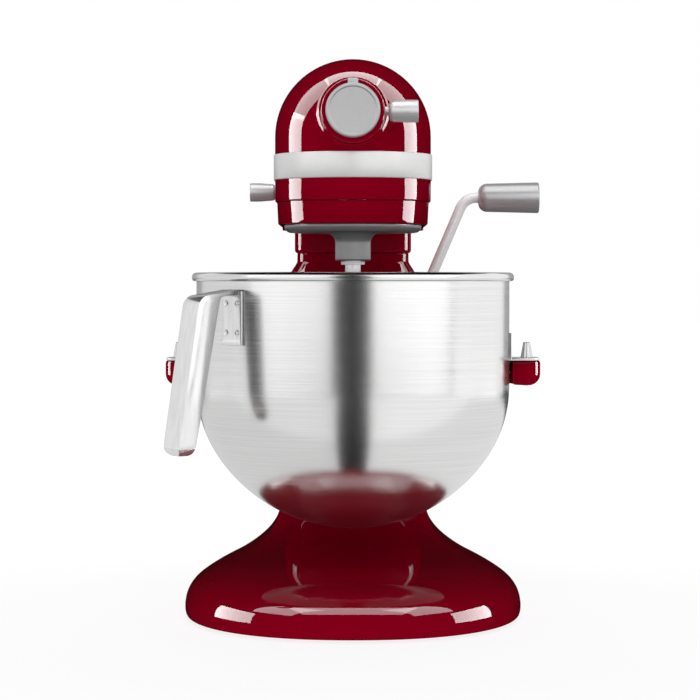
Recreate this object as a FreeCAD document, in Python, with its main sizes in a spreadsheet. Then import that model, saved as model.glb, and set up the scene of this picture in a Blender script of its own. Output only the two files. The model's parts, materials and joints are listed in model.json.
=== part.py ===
import FreeCAD, Part
import math
import os
import re
import Sketcher
from FreeCAD import Placement, Rotation, Vector

# A bowl-lift stand mixer, in millimetres. +Z is up, the front faces -Y, and the origin is the
# point of the floor straight below the axis that the whisking head turns about.

# The driving sizes. Each is one cell of the sheet, and everything else is worked out from them.
SIZES = {
    # whole machine
    "overall_height": 419,
    "foot_half_width": 127.3,
    "foot_front": -121.3,
    "foot_rear": 250,
    "foot_centre": 40,
    "foot_pad_height": 2,
    # column of the pedestal
    "column_half_width": 49,
    "column_front": 143,
    "column_rear": 244,
    "column_centre": 192,
    "column_top": 277,
    "casting_wall": 4.5,
    "column_deck": 6,
    "pad_radius": 9,
    "pad_stem_radius": 3,
    "pad_stem_length": 8,
    "side_pad_x": 88,
    "side_pad_y": -25,
    "rear_pad_x": 60,
    "rear_pad_y": 215,
    "front_pad_y": -92,
    "neck_screw_x": 33,
    "neck_screw_y": 20,
    "cable_hole_radius": 14,
    "cable_hole_offset": 24,
    # head
    "head_radius": 58,
    "head_straight": 192,
    "head_wall": 3.5,
    "head_split": 313,
    "head_bottom": 296,
    "lower_step": 1.5,
    "ring_seat_top": 309,
    "neck_half_width": 47,
    "neck_front": 145,
    "neck_rear": 243,
    "neck_corner": 20,
    "band_bottom": 329,
    "band_width": 19,
    "band_thickness": 1,
    "bulkhead_gap": 0.5,
    "bulkhead_thickness": 8,
    "front_bulkhead": 42,
    "rear_bulkhead": 67,
    "cover_screw_radius": 2,
    "cover_screw_rise": 22,
    "head_screw_x": 48,
    "head_screw_front": 20,
    "head_screw_rear": 120,
    "frame_screw_radius": 2.5,
    # power hub
    "hub_height": 376,
    "hub_front": -76,
    "hub_inner_end": -40,
    "hub_boss_radius": 23,
    "hub_bore_radius": 16,
    "socket_wall": 1.5,
    "socket_length": 25.5,
    "hub_drive_radius": 9,
    "hub_square": 9.6,
    "disc_radius": 19.6,
    "disc_thickness": 4,
    "disc_gap": 0.6,
    "disc_pin_radius": 1.2,
    "disc_lug_radius": 2.5,
    "disc_pin_offset": 20.6,
    "knob_screw_radius": 3.3,
    "knob_radius": 8.1,
    "knob_start": 25.5,
    "knob_end": 47,
    "knob_setback": 10,
    # gear train
    "bevel_module": 2,
    "bevel_wheel_teeth": 36,
    "bevel_pinion_teeth": 12,
    "bevel_face": 11,
    "spur_module": 1,
    "spur_wheel_teeth": 48,
    "spur_pinion_teeth": 12,
    "spur_face": 7,
    "ring_module": 1.5,
    "ring_teeth": 48,
    "planet_teeth": 14,
    "ring_face": 8,
    "lay_shaft_radius": 4,
    "main_shaft_radius": 7,
    "bearing_wall": 5,
    "bearing_length": 7,
    "running_gap": 0.05,
    # motor
    "stator_radius": 32,
    "rotor_radius": 21,
    "air_gap": 0.7,
    "stator_front": 90,
    "stator_length": 58,
    "motor_shaft_radius": 4,
    "fan_radius": 30,
    # whisking head
    "plate_radius": 51.5,
    "plate_thickness": 7,
    "plate_gap": 0.6,
    "boss_radius": 13,
    "boss_bottom": 269,
    "tool_shaft_radius": 5.7,
    "tool_shaft_end": 221,
    "tool_spigot_radius": 5.2,
    "tool_spigot_length": 8,
    "tool_pin_radius": 2,
    "tool_pin_height": 233,
    "washer_radius": 8.8,
    # bowl
    "bowl_radius": 116.5,
    "bowl_wall": 1.2,
    "bowl_bottom": 70,
    "bowl_bottom_drop": 11,
    "side_curve_centre": 21.5,
    "bowl_rim": 260.4,
    "rim_bead": 3.4,
    "rim_height": 6.8,
    "ear_thickness": 2,
    "ear_half_width": 14,
    "ear_height": 20,
    "ear_reach": 22,
    "handle_turn": 47,
    "handle_width": 18,
    "handle_depth": 18,
    "handle_skin": 1.8,
    "handle_top": 248,
    "handle_bottom": 131,
    "handle_stand_off": 38.5,
    "handle_splay": 20,
    "bracket_width": 21,
    "bracket_height": 39,
    # yoke and lift
    "arm_top": 195,
    "arm_height": 19,
    "arm_gap": 2.5,
    "arm_width": 21,
    "arm_front": 10,
    "pin_stand_off": 13.1,
    "pin_radius": 4.65,
    "pin_tip_radius": 2.3,
    "pin_rise": 11.3,
    "pin_gap": 0.3,
    "lift_travel": 24,
    "lift_angle": 100,
    "neck_width": 32,
    "rod_radius": 5,
    "rod_spread": 22,
    "rod_line": 165,
    "carriage_half_width": 28,
    "carriage_height": 34,
    "tongue_half_width": 5,
    "yoke_screw_inset": 7,
    "shaft_line": 182,
    "shaft_height": 228,
    "lift_shaft_radius": 6,
    "crank_pin_radius": 3,
    "crank_play": 1.2,
    "crank_side": 7,
    "crank_thickness": 6,
    "lever_hub_radius": 12,
    "lever_hub_gap": 1.5,
    "lever_hub_length": 12,
    "lever_rod_radius": 4.2,
    "lever_bend": 14,
    "lever_lean": 23.1,
    "grip_start": 102.5,
    "grip_end": 152,
    "grip_radius": 12.6,
    "grip_height": 322.5,
    # speed control
    "speed_height": 324.5,
    "speed_rest": 118,
    "speed_travel": 34,
    "speed_arm_thickness": 3,
    "speed_arm_width": 7,
    "slot_gap": 0.6,
    "speed_knob_radius": 7.3,
    "speed_knob_start": 61,
    "speed_knob_end": 81.5,
    # cord outlet
    "gland_radius": 6.5,
    "gland_bore": 3.75,
    "gland_height": 286,
    "gland_nose": 7,
}

# Places and sizes that follow from the driving ones.
DERIVED = {
    "head_centre": "overall_height - head_radius",
    "lower_radius": "head_radius - lower_step",
    "bevel_wheel_radius": "bevel_module * bevel_wheel_teeth / 2",
    "bevel_pinion_radius": "bevel_module * bevel_pinion_teeth / 2",
    "spur_wheel_radius": "spur_module * spur_wheel_teeth / 2",
    "spur_pinion_radius": "spur_module * spur_pinion_teeth / 2",
    "ring_radius": "ring_module * ring_teeth / 2",
    "planet_radius": "ring_module * planet_teeth / 2",
    "tool_offset": "ring_radius - planet_radius",
    "motor_height": "hub_height - spur_wheel_radius - spur_pinion_radius",
    "wheel_top": "hub_height - bevel_pinion_radius",
    "plate_top": "head_bottom - plate_gap",
    "plate_bottom": "plate_top - plate_thickness",
    "planet_bottom": "plate_top + 3",
    "tower_top": "head_split + 26",
    "tower_bore": "main_shaft_radius + running_gap + bearing_wall",
    "socket_radius": "hub_bore_radius + socket_wall",
    "spur_front": "front_bulkhead + bulkhead_thickness + 5",
    "motor_rear": "stator_front + stator_length",
    "lever_hub_end": "lever_hub_start + lever_hub_length",
    "disc_front": "hub_front - disc_gap - disc_thickness",
    "disc_pin_height": "hub_height + disc_pin_offset",
    "disc_pin_line": "hub_front + 3",
    "knob_line": "hub_front + knob_setback",
    "arm_bottom": "arm_top - arm_height",
    "ear_bottom": "arm_top + pin_gap",
    "carriage_bottom": "arm_top - carriage_height",
    "crank_throw": "lift_travel / 2 / sin(lift_angle / 2)",
    "crank_pin_line": "shaft_line + crank_throw * cos(lift_angle / 2)",
    "crank_pin_height": "shaft_height + lift_travel / 2",
    "bowl_inner": "bowl_radius - bowl_wall",
    "bowl_side_curve": "bowl_radius - side_curve_centre",
    "bowl_curve_top": "bowl_bottom + bowl_side_curve + bowl_bottom_drop",
    "handle_reach_top": "bowl_radius + handle_stand_off",
    "handle_reach_bottom": "handle_reach_top + handle_splay",
    "arm_inner": "bowl_radius + arm_gap",
    "arm_outer": "arm_inner + arm_width",
    "pin_offset": "bowl_radius + pin_stand_off",
    "bowl_curve_depth": "bowl_curve_top - bowl_bottom",
    "bottom_curve": "(side_curve_centre * side_curve_centre + bowl_curve_depth * bowl_curve_depth"
                    " - bowl_side_curve * bowl_side_curve) / (bowl_curve_depth - bowl_side_curve) / 2",
    "curve_share": "bowl_side_curve / (bottom_curve - bowl_side_curve)",
    "curve_meet_radius": "side_curve_centre * (1 + curve_share)",
    "curve_meet_height": "bowl_curve_top + (bowl_curve_top - bowl_bottom - bottom_curve) * curve_share",
    "inner_share": "(bowl_side_curve - bowl_wall) / (bottom_curve - bowl_side_curve)",
    "inner_meet_radius": "side_curve_centre * (1 + inner_share)",
    "inner_meet_height": "bowl_curve_top + (bowl_curve_top - bowl_bottom - bottom_curve) * inner_share",
    "lever_corner": "grip_start - 11",
    "lever_foot_height": "shaft_height + lift_shaft_radius + 2",
    "lever_foot": "lever_corner - (grip_height - lever_foot_height) * tan(lever_lean)",
    "lever_hub_start": "column_half_width + lever_hub_gap",
    "rod_bottom": "carriage_bottom - lift_travel - 16",
    "rod_top": "column_top - 2",
    "cover_screw_height": "head_centre + cover_screw_rise",
    "cover_screw_seat": "head_straight"
                        " + sqrt(head_radius * head_radius - cover_screw_rise * cover_screw_rise)",
    "arm_inner_front": "sqrt(arm_inner * arm_inner - arm_front * arm_front)",
    "arm_outer_front": "sqrt(arm_outer * arm_outer - arm_front * arm_front)",
}

# Turns the local Z axis of a sub-part to the way it faces on the machine.
FACINGS = {
    "up": Rotation(),
    "down": Rotation(Vector(1, 0, 0), 180),
    "front": Rotation(Vector(1, 0, 0), 90),
    "back": Rotation(Vector(1, 0, 0), -90),
    "right": Rotation(Vector(0, 1, 0), 90),
    "left": Rotation(Vector(0, 1, 0), -90),
}

doc = FreeCAD.newDocument("StandMixer")
sheet = doc.addObject("Spreadsheet::Sheet", "Sizes")
for row, (alias, number) in enumerate(SIZES.items(), start=1):
    sheet.set(f"A{row}", alias)
    sheet.set(f"B{row}", str(number))
    sheet.setAlias(f"B{row}", alias)
doc.recompute()

nodes = {}


# ---- expressions -------------------------------------------------------------------------

def formula(text):
    """The text as an expression on the sheet, with every derived name spelt out."""
    def spell(found):
        word = found.group()
        if word in DERIVED:
            return "(" + formula(DERIVED[word]) + ")"
        return "Sizes." + word if word in SIZES else word
    spelt = re.sub(r"[a-z_]+", spell, str(text))
    # sines and cosines of the sheet's plain numbers are taken in degrees
    return re.sub(r"\b(sin|cos|tan)\(([^()]*)\)", r"\1((\2) * 1deg)", spelt)


def number(text):
    """What the expression comes to now."""
    return float(sheet.evalExpression(formula(text)))


def bind(thing, path, text):
    thing.setExpression(path, formula(text))


def place(thing, at, facing="up", turn=0):
    """Puts a sub-part at a point given by three expressions, turned about Z last."""
    spin = Rotation(Vector(0, 0, 1), turn)
    thing.Placement = Placement(Vector(*[number(part) for part in at]), spin * FACINGS[facing])
    for axis, part in zip("xyz", at):
        bind(thing, f"Placement.Base.{axis}", part)
    return thing


def node(name, thing):
    """Names the sub-part that goes to its own file."""
    thing.Label = name
    nodes[name] = thing
    return thing


# ---- primitives --------------------------------------------------------------------------

def cylinder(name, radius, length, at, facing="up"):
    thing = doc.addObject("Part::Cylinder", name)
    bind(thing, "Radius", radius)
    bind(thing, "Height", length)
    return place(thing, at, facing)


def cone(name, radius, tip_radius, length, at, facing="up"):
    thing = doc.addObject("Part::Cone", name)
    bind(thing, "Radius1", radius)
    bind(thing, "Radius2", tip_radius)
    bind(thing, "Height", length)
    return place(thing, at, facing)


def block(name, low, high):
    """A box between two corners, each given by three expressions."""
    thing = doc.addObject("Part::Box", name)
    for side, start, end in zip(("Length", "Width", "Height"), low, high):
        bind(thing, side, f"({end}) - ({start})")
    return place(thing, low)


def joined(name, things):
    thing = doc.addObject("Part::MultiFuse", name)
    thing.Shapes = things
    return thing


def cut(name, base, tools):
    thing = doc.addObject("Part::Cut", name)
    thing.Base = base
    thing.Tool = tools[0] if len(tools) == 1 else joined(name + "_tools", tools)
    return thing


def group(name, things):
    """Identical pieces kept as separate solids of one sub-part."""
    thing = doc.addObject("Part::Compound", name)
    thing.Links = things
    return node(name, thing)


# ---- sketches and Part Design ------------------------------------------------------------

def arc_between(start, end, radius, turn):
    """The shorter arc from start to end; turn is 1 when it runs anticlockwise."""
    half = (end - start) * 0.5
    reach = math.sqrt(max(radius * radius - half.Length ** 2, 0.0))
    side = Vector(-half.y, half.x, 0).normalize() * reach * turn
    centre = start + half + side
    first, last = (start, end) if turn > 0 else (end, start)
    angles = [math.atan2(p.y - centre.y, p.x - centre.x) for p in (first, last)]
    if angles[1] <= angles[0]:
        angles[1] += 2 * math.pi
    return Part.ArcOfCircle(Part.Circle(centre, Vector(0, 0, 1), radius), *angles)


def draw(sketch, outline):
    """A closed outline. A corner is (x, y), or (x, y, radius, turn) where an arc leaves it.

    Each corner is tied to the sheet by its distances from the axes, and each arc by its radius.
    """
    corners = [Vector(number(corner[0]), number(corner[1]), 0) for corner in outline]
    ends = []
    for index, corner in enumerate(outline):
        start, end = corners[index], corners[(index + 1) % len(corners)]
        if len(corner) == 4:
            edge = sketch.addGeometry(arc_between(start, end, number(corner[2]), corner[3]))
            fixed = sketch.addConstraint(Sketcher.Constraint("Radius", edge, number(corner[2])))
            bind(sketch, f"Constraints[{fixed}]", corner[2])
            ends.append((edge, 1, 2) if corner[3] > 0 else (edge, 2, 1))
        else:
            edge = sketch.addGeometry(Part.LineSegment(start, end))
            ends.append((edge, 1, 2))
    for index, corner in enumerate(outline):
        edge, first, _ = ends[index]
        before, _, last = ends[index - 1]
        sketch.addConstraint(Sketcher.Constraint("Coincident", before, last, edge, first))
        for kind, text in (("DistanceX", corner[0]), ("DistanceY", corner[1])):
            fixed = sketch.addConstraint(
                Sketcher.Constraint(kind, -1, 1, edge, first, number(text)))
            bind(sketch, f"Constraints[{fixed}]", text)


def draw_circle(sketch, x, y, radius):
    circle = Part.Circle(Vector(number(x), number(y), 0), Vector(0, 0, 1), number(radius))
    edge = sketch.addGeometry(circle)
    for kind, text in (("DistanceX", x), ("DistanceY", y)):
        fixed = sketch.addConstraint(Sketcher.Constraint(kind, -1, 1, edge, 3, number(text)))
        bind(sketch, f"Constraints[{fixed}]", text)
    fixed = sketch.addConstraint(Sketcher.Constraint("Radius", edge, number(radius)))
    bind(sketch, f"Constraints[{fixed}]", radius)


def new_body(name):
    return doc.addObject("PartDesign::Body", name)


def sketch_on(body, role, shapes, start="0"):
    """A sketch on one of the body's own origin planes, start millimetres along its normal."""
    sketch = body.newObject("Sketcher::SketchObject", body.Name + "_sketch")
    plane = next(item for item in body.Origin.OriginFeatures if item.Role == role)
    sketch.AttachmentSupport = (plane, [""])
    sketch.MapMode = "FlatFace"
    bind(sketch, "AttachmentOffset.Base.z", start)
    for shape in shapes:
        if shape[0] == "circle":
            draw_circle(sketch, *shape[1:])
        else:
            draw(sketch, shape)
    return sketch


def extrude(body, kind, role, shapes, start, end):
    """A Pad or Pocket of the shapes from start to end, measured along the row's axis.

    The normal of XZ_Plane points to -Y, so there the offset and the direction change sign.
    """
    sign = -1 if role == "XZ_Plane" else 1
    sketch = sketch_on(body, role, shapes, start if sign > 0 else f"-({start})")
    feature = body.newObject("PartDesign::" + kind, body.Name + "_" + kind)
    feature.Profile = sketch
    bind(feature, "Length", f"({end}) - ({start})")
    feature.Reversed = (sign < 0) == (kind == "Pad")
    return feature


def spin(body, kind, outline, angle=360, reverse=False, line="0"):
    """A Revolution or Groove of an outline in the XZ plane about the upright axis at y = line."""
    sketch = sketch_on(body, "XZ_Plane", [outline], f"-({line})")
    feature = body.newObject("PartDesign::" + kind, body.Name + "_" + kind)
    feature.Profile = sketch
    feature.ReferenceAxis = (sketch, ["V_Axis"])
    feature.Angle = angle
    feature.Reversed = reverse
    return feature


def repeat(body, feature, count):
    """The feature repeated about the body's Z axis."""
    pattern = body.newObject("PartDesign::PolarPattern", body.Name + "_pattern")
    pattern.Originals = [feature]
    axis = next(item for item in body.Origin.OriginFeatures if item.Role == "Z_Axis")
    pattern.Axis = (axis, [""])
    pattern.Angle = 360
    bind(pattern, "Occurrences", count)
    body.Tip = pattern
    return pattern


def rectangle(x_low, y_low, x_high, y_high):
    return [(x_low, y_low), (x_high, y_low), (x_high, y_high), (x_low, y_high)]


def rounded(x_low, y_low, x_high, y_high, radius):
    """A rectangle with quarter-round corners."""
    return [(f"{x_low} + {radius}", y_low), (f"{x_high} - {radius}", y_low, radius, 1),
            (x_high, f"{y_low} + {radius}"), (x_high, f"{y_high} - {radius}", radius, 1),
            (f"{x_high} - {radius}", y_high), (f"{x_low} + {radius}", y_high, radius, 1),
            (x_low, f"{y_high} - {radius}"), (x_low, f"{y_low} + {radius}", radius, 1)]


def lathe(name, outline, at, facing="up"):
    """A half outline of (radius, height) corners turned about local Z."""
    body = new_body(name)
    spin(body, "Revolution", outline)
    return place(body, at, facing)


def turned(name, outline, at, facing="up"):
    """A sub-part that is lathe work and nothing else."""
    return node(name, lathe(name, outline, at, facing))


def ring(name, inner, outer, length, at, facing="up"):
    return turned(name, rectangle(inner, "0", outer, length), at, facing)


def tooth(inner, outer, root_width, tip_width):
    """A straight-sided tooth that points along X, from a root radius to a tip radius."""
    return [(inner, f"-({root_width}) / 2"), (outer, f"-({tip_width}) / 2"),
            (outer, f"({tip_width}) / 2"), (inner, f"({root_width}) / 2")]


def spur_gear(name, teeth, module, bore, face, at, facing="up", phase=0):
    """A spur gear: root disc, one tooth repeated about the axis, and a bore."""
    body = new_body(name)
    pitch = f"{module} * {teeth} / 2"
    root, tip = f"({pitch} - 1.25 * {module})", f"({pitch} + 0.9 * {module})"
    extrude(body, "Pad", "XY_Plane", [("circle", "0", "0", root)], "0", face)
    shape = tooth(f"{root} - 0.3 * {module}", tip, f"1.95 * {module}", f"0.62 * {module}")
    one = extrude(body, "Pad", "XY_Plane", [shape], "0", face)
    repeat(body, one, teeth)
    extrude(body, "Pocket", "XY_Plane", [("circle", "0", "0", bore)], "-1", f"{face} + 1")
    node(name, place(body, at, facing))
    body.Placement = body.Placement * Placement(Vector(), Rotation(Vector(0, 0, 1), phase))
    return body


def bevel_gear(name, teeth, mate_teeth, bore, back, at, facing, phase=0):
    """A straight bevel gear. Its pitch cone's point is the local origin and opens along local Z.

    Straight teeth on a cone need a ruled loft for each tooth, so this one is made with Part.
    """
    module, face = number("bevel_module"), number("bevel_face")
    count = int(number(teeth))
    radius, height = module * count / 2, module * number(mate_teeth) / 2
    length = math.hypot(radius, height)
    along = Vector(radius / length, 0, height / length)
    outward = Vector(height / length, 0, -radius / length)

    def on_flank(share, depth):
        """A point at a share of the cone's length, depth modules above the pitch cone."""
        return along * length * share + outward * module * depth * share

    inner_share = 1 - face / length
    root_far, root_near = on_flank(1, -1.25), on_flank(inner_share, -1.25)
    far_back = height + number(back)
    blank = [Vector(number(bore), 0, root_near.z), root_near, root_far,
             Vector(root_far.x, 0, far_back), Vector(number(bore), 0, far_back)]
    blank = Part.Face(Part.makePolygon(blank + blank[:1])).revolve(
        Vector(), Vector(0, 0, 1), 360)
    ends = []
    for share in (inner_share, 1):
        low, high = on_flank(share, -1.45), on_flank(share, 0.85)
        foot_half, tip_half = 1.0 * module * share, 0.3 * module * share
        side = Vector(0, 1, 0)
        quad = [low - side * foot_half, high - side * tip_half,
                high + side * tip_half, low + side * foot_half]
        ends.append(Part.makePolygon(quad + quad[:1]))
    one = Part.makeLoft(ends, True, True)
    turns = [phase + 360 * index / count for index in range(count)]
    all_teeth = [one.rotated(Vector(), Vector(0, 0, 1), turn) for turn in turns]
    thing = doc.addObject("Part::Feature", name)
    thing.Shape = blank.multiFuse(all_teeth).removeSplitter()
    return node(name, place(thing, at, facing))


# ---- pedestal ----------------------------------------------------------------------------

# Stations of the casting from the floor up: height, then how far the width, the reach to the
# front and the centre have gone from the column (0) to the foot (1), and how blunt the plan is.
FLARE = [
    (2, 0.987, 0.996, 1.0, 2.15), (10, 1.0, 1.0, 1.0, 2.15), (20, 0.97, 0.991, 1.0, 2.15),
    (27, 0.913, 0.973, 0.99, 2.15), (33, 0.817, 0.923, 0.967, 2.2), (37, 0.702, 0.836, 0.9, 2.3),
    (40, 0.549, 0.655, 0.77, 2.4), (42.5, 0.447, 0.465, 0.64, 2.5), (46, 0.332, 0.284, 0.44, 2.7),
    (52, 0.192, 0.155, 0.243, 2.9), (62, 0.111, 0.072, 0.13, 3.1), (85, 0.07, 0.026, 0.05, 3.3),
    (120, 0.038, 0.008, 0.0, 3.4), (200, 0.006, 0.0, 0.0, 3.4),
]
# Close under the head the column draws in: depth below its top, and how far it draws in.
NECK_STATIONS = [(40, 0.0), (20, 0.0), (13, 0.5), (9, 2.6), (5, 4.3), (0, 5.0)]
COLUMN_BLUNTNESS = 3.4


def plan_section(height, half_width, front, rear, centre, bluntness):
    """A closed egg-shaped section whose front and rear halves meet at the centre line."""
    points = []
    count = 32
    for index in range(count):
        angle = 2 * math.pi * index / count
        across, along = math.cos(angle), math.sin(angle)
        reach = rear - centre if along > 0 else centre - front
        points.append(Vector(
            math.copysign(abs(across) ** (2 / bluntness), across) * half_width,
            centre + math.copysign(abs(along) ** (2 / bluntness), along) * reach, height))
    curve = Part.BSplineCurve()
    curve.interpolate(Points=points, PeriodicFlag=True)
    return Part.Wire(curve.toShape())


def casting_form(inset):
    """The solid form of the pedestal, drawn in by the inset on every side and on top."""
    column, foot = number("column_half_width"), number("foot_half_width")
    front, foot_front = number("column_front"), number("foot_front")
    rear, foot_rear = number("column_rear"), number("foot_rear")
    centre, foot_centre = number("column_centre"), number("foot_centre")
    top = number("column_top")
    sections = []
    for height, spread, reach, shift, bluntness in FLARE:
        sections.append(plan_section(
            height - inset, column + spread * (foot - column) - inset,
            front + reach * (foot_front - front) + inset,
            rear + spread * (foot_rear - rear) - inset,
            centre + shift * (foot_centre - centre), bluntness))
    for below, drawn_in in NECK_STATIONS:
        sections.append(plan_section(
            top - below - (number("column_deck") if inset else 0), column - drawn_in - inset,
            front + drawn_in * 0.6 + inset, rear - drawn_in * 0.4 - inset, centre,
            COLUMN_BLUNTNESS))
    return Part.makeLoft(sections, True, False)


def make_pedestal():
    """The foot and column in one hollow casting, a free form that neither bodies nor boxes fit."""
    form = doc.addObject("Part::Feature", "pedestal_form")
    form.Shape = casting_form(0)
    core = doc.addObject("Part::Feature", "pedestal_core")
    core.Shape = casting_form(number("casting_wall"))
    slot = block("yoke_slot", ("-neck_width / 2 - 1", "column_front - 20",
                               "carriage_bottom - lift_travel - 4"),
                 ("neck_width / 2 + 1", "column_front + 12", "arm_top + 4"))
    bush_hole = cylinder("bush_hole", "lift_shaft_radius + bearing_wall", "40",
                         ("column_half_width - 30", "shaft_line", "shaft_height"), "right")
    cable_hole = cylinder("cable_hole", "cable_hole_radius", "column_deck * 3",
                          ("0", "column_centre + cable_hole_offset",
                           "column_top - column_deck * 2"))
    seats = [cylinder("pad_hole", "pad_stem_radius", "foot_pad_height + pad_stem_length + 1",
                      (x, y, "-1")) for x, y in pad_places()]
    screws = [cylinder("neck_screw_hole", "frame_screw_radius", "30", (x, y, "column_top - 20"))
              for x, y in neck_screw_places()]
    lugs = joined("pad_lugs", [cylinder("pad_lug", "pad_radius", "60", (x, y, "foot_pad_height"))
                               for x, y in pad_places()])
    lugs_inside = doc.addObject("Part::Common", "pad_lugs_inside")
    lugs_inside.Base = form
    lugs_inside.Tool = lugs
    rod_feet = [block("rod_foot", (f"{side} * rod_spread - 7", "column_front", "rod_bottom"),
                      (f"{side} * rod_spread + 7", "rod_line + 8", "rod_bottom + 8"))
                for side in (-1, 1)]
    shell = cut("pedestal_shell", form, [core])
    solid = joined("pedestal_solid", [shell, lugs_inside] + rod_feet)
    rods = [cylinder("rod_hole", "rod_radius", "rod_top - rod_bottom",
                     (f"{side} * rod_spread", "rod_line", "rod_bottom")) for side in (-1, 1)]
    node("pedestal", cut("pedestal", solid,
                         [slot, bush_hole, cable_hole] + seats + screws + rods))


def pad_places():
    return [("-side_pad_x", "side_pad_y"), ("side_pad_x", "side_pad_y"),
            ("-rear_pad_x", "rear_pad_y"), ("rear_pad_x", "rear_pad_y"), ("0", "front_pad_y")]


def neck_screw_places():
    return [(x, y) for x in ("-neck_screw_x", "neck_screw_x")
            for y in ("column_centre - neck_screw_y", "column_centre + neck_screw_y")]


def make_pedestal_fittings():
    group("rubber_feet", [
        joined("foot_pad", [
            cone("pad", "pad_radius - 1", "pad_radius", "foot_pad_height", (x, y, "0")),
            cylinder("pad_stem", "pad_stem_radius", "pad_stem_length",
                     (x, y, "foot_pad_height"))])
        for x, y in pad_places()])
    group("guide_rods", [
        cylinder("guide_rod", "rod_radius", "rod_top - rod_bottom",
                 (f"{side} * rod_spread", "rod_line", "rod_bottom")) for side in (-1, 1)])
    turned("lift_bush", rectangle("lift_shaft_radius + running_gap", "0",
                                  "lift_shaft_radius + bearing_wall", "14"),
           ("column_half_width - 14", "shaft_line", "shaft_height"), "right")
    group("column_screws", [
        joined("column_screw", [
            cylinder("screw_stem", "frame_screw_radius", "column_deck + 4.5",
                     (x, y, "column_top - column_deck")),
            cylinder("screw_head", "frame_screw_radius * 1.8", "3",
                     (x, y, "column_top - column_deck - 3"))])
        for x, y in neck_screw_places()])


# ---- head castings -----------------------------------------------------------------------

def arch(radius, bottom):
    """The front outline of the head: upright sides under a half round top."""
    return [(f"-({radius})", bottom), (radius, bottom), (radius, "head_centre", radius, 1),
            ("0", f"head_centre + {radius}", radius, 1), (f"-({radius})", "head_centre")]


def half_arch(radius, bottom):
    return [("0", bottom), (radius, bottom), (radius, "head_centre", radius, 1),
            ("0", f"head_centre + {radius}")]


def u_plan(radius, rear):
    """A plan outline with a round front and straight sides."""
    return [(radius, "0"), (radius, rear), (f"-({radius})", rear), (f"-({radius})", "0", radius, 1),
            ("0", f"-({radius})", radius, 1)]


def make_motor_housing():
    """The upper casting: a long arch with a domed front, open below and behind."""
    body = new_body("motor_housing")
    extrude(body, "Pad", "XZ_Plane", [arch("head_radius", "head_split")], "0", "head_straight")
    spin(body, "Revolution", half_arch("head_radius", "head_split"), 180, True)
    inner = "(head_radius - head_wall)"
    extrude(body, "Pocket", "XZ_Plane", [arch(inner, "head_split - 1")], "0", "head_straight + 1")
    spin(body, "Groove", half_arch(inner, "head_split - 1"), 180, True)
    extrude(body, "Pad", "XZ_Plane", [("circle", "0", "hub_height", "hub_boss_radius")],
            "hub_front", "hub_inner_end")
    extrude(body, "Pocket", "XZ_Plane", [("circle", "0", "hub_height", "socket_radius")],
            "hub_front - 1", "hub_inner_end + 1")
    extrude(body, "Pocket", "XZ_Plane",
            [rectangle("-4.3", "disc_pin_height - 2.9", "4.3", "hub_height + hub_boss_radius + 2")],
            "hub_front - 1", "disc_pin_line + 3.2")
    extrude(body, "Pocket", "YZ_Plane", [("circle", "disc_pin_line", "disc_pin_height",
                                          "disc_pin_radius")], "-7", "7")
    extrude(body, "Pocket", "YZ_Plane", [("circle", "knob_line", "hub_height",
                                          "knob_screw_radius + running_gap")],
            "hub_bore_radius", "hub_boss_radius + 2")
    slot = rectangle("speed_rest - speed_travel - speed_arm_width / 2 - slot_gap",
                     "speed_height - speed_arm_thickness / 2 - slot_gap",
                     "speed_rest + speed_arm_width / 2 + slot_gap",
                     "speed_height + speed_arm_thickness / 2 + slot_gap")
    extrude(body, "Pocket", "YZ_Plane", [slot], "-(head_radius + 2)", "-(head_radius - 8)")
    node("motor_housing", body)


def make_gearcase():
    """The lower casting: shallow tray under the gears, neck block behind, bearing tower."""
    body = new_body("gearcase_lower")
    extrude(body, "Pad", "XY_Plane", [u_plan("lower_radius", "head_straight")],
            "head_bottom", "head_split")
    extrude(body, "Pocket", "XY_Plane", [u_plan("(lower_radius - head_wall)",
                                                "neck_front - 4")],
            "head_bottom - 1", "ring_seat_top")
    extrude(body, "Pad", "XY_Plane",
            [rounded("-neck_half_width", "neck_front", "neck_half_width", "neck_rear",
                     "neck_corner")], "column_top", "head_bottom")
    extrude(body, "Pocket", "XY_Plane",
            [rectangle("-neck_half_width + 20", "neck_front + 8", "neck_half_width - 20",
                       "neck_rear - 10")], "column_top + 6", "head_bottom - 3")
    extrude(body, "Pocket", "XY_Plane",
            [("circle", "0", "column_centre + cable_hole_offset", "cable_hole_radius")],
            "column_top - 1", "column_top + 8")
    extrude(body, "Pocket", "XY_Plane", [rectangle("-20", "neck_front + 12", "20",
                                                   "head_straight - 8")],
            "head_bottom - 4", "head_split + 1")
    extrude(body, "Pad", "XY_Plane", [("circle", "0", "0", "tower_bore + 4")],
            "head_split", "tower_top")
    extrude(body, "Pocket", "XY_Plane", [("circle", "0", "0", "tower_bore")],
            "ring_seat_top - 1", "tower_top + 1")
    for x, y in neck_screw_places():
        extrude(body, "Pocket", "XY_Plane", [("circle", x, y, "frame_screw_radius")],
                "column_top - 1", "column_top + 5")
    for x, y in head_screw_places():
        extrude(body, "Pocket", "XY_Plane", [("circle", x, y, "cover_screw_radius")],
                "ring_seat_top - 1", "head_split + 1")
    gland = extrude(body, "Pocket", "XZ_Plane",
                    [("circle", "0", "gland_height", "gland_radius")],
                    "neck_rear - 11", "neck_rear + 1")
    body.Tip = gland
    node("gearcase_lower", body)


def head_screw_places():
    return [(x, y) for x in ("-head_screw_x", "head_screw_x")
            for y in ("head_screw_front", "head_screw_rear")]


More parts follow.
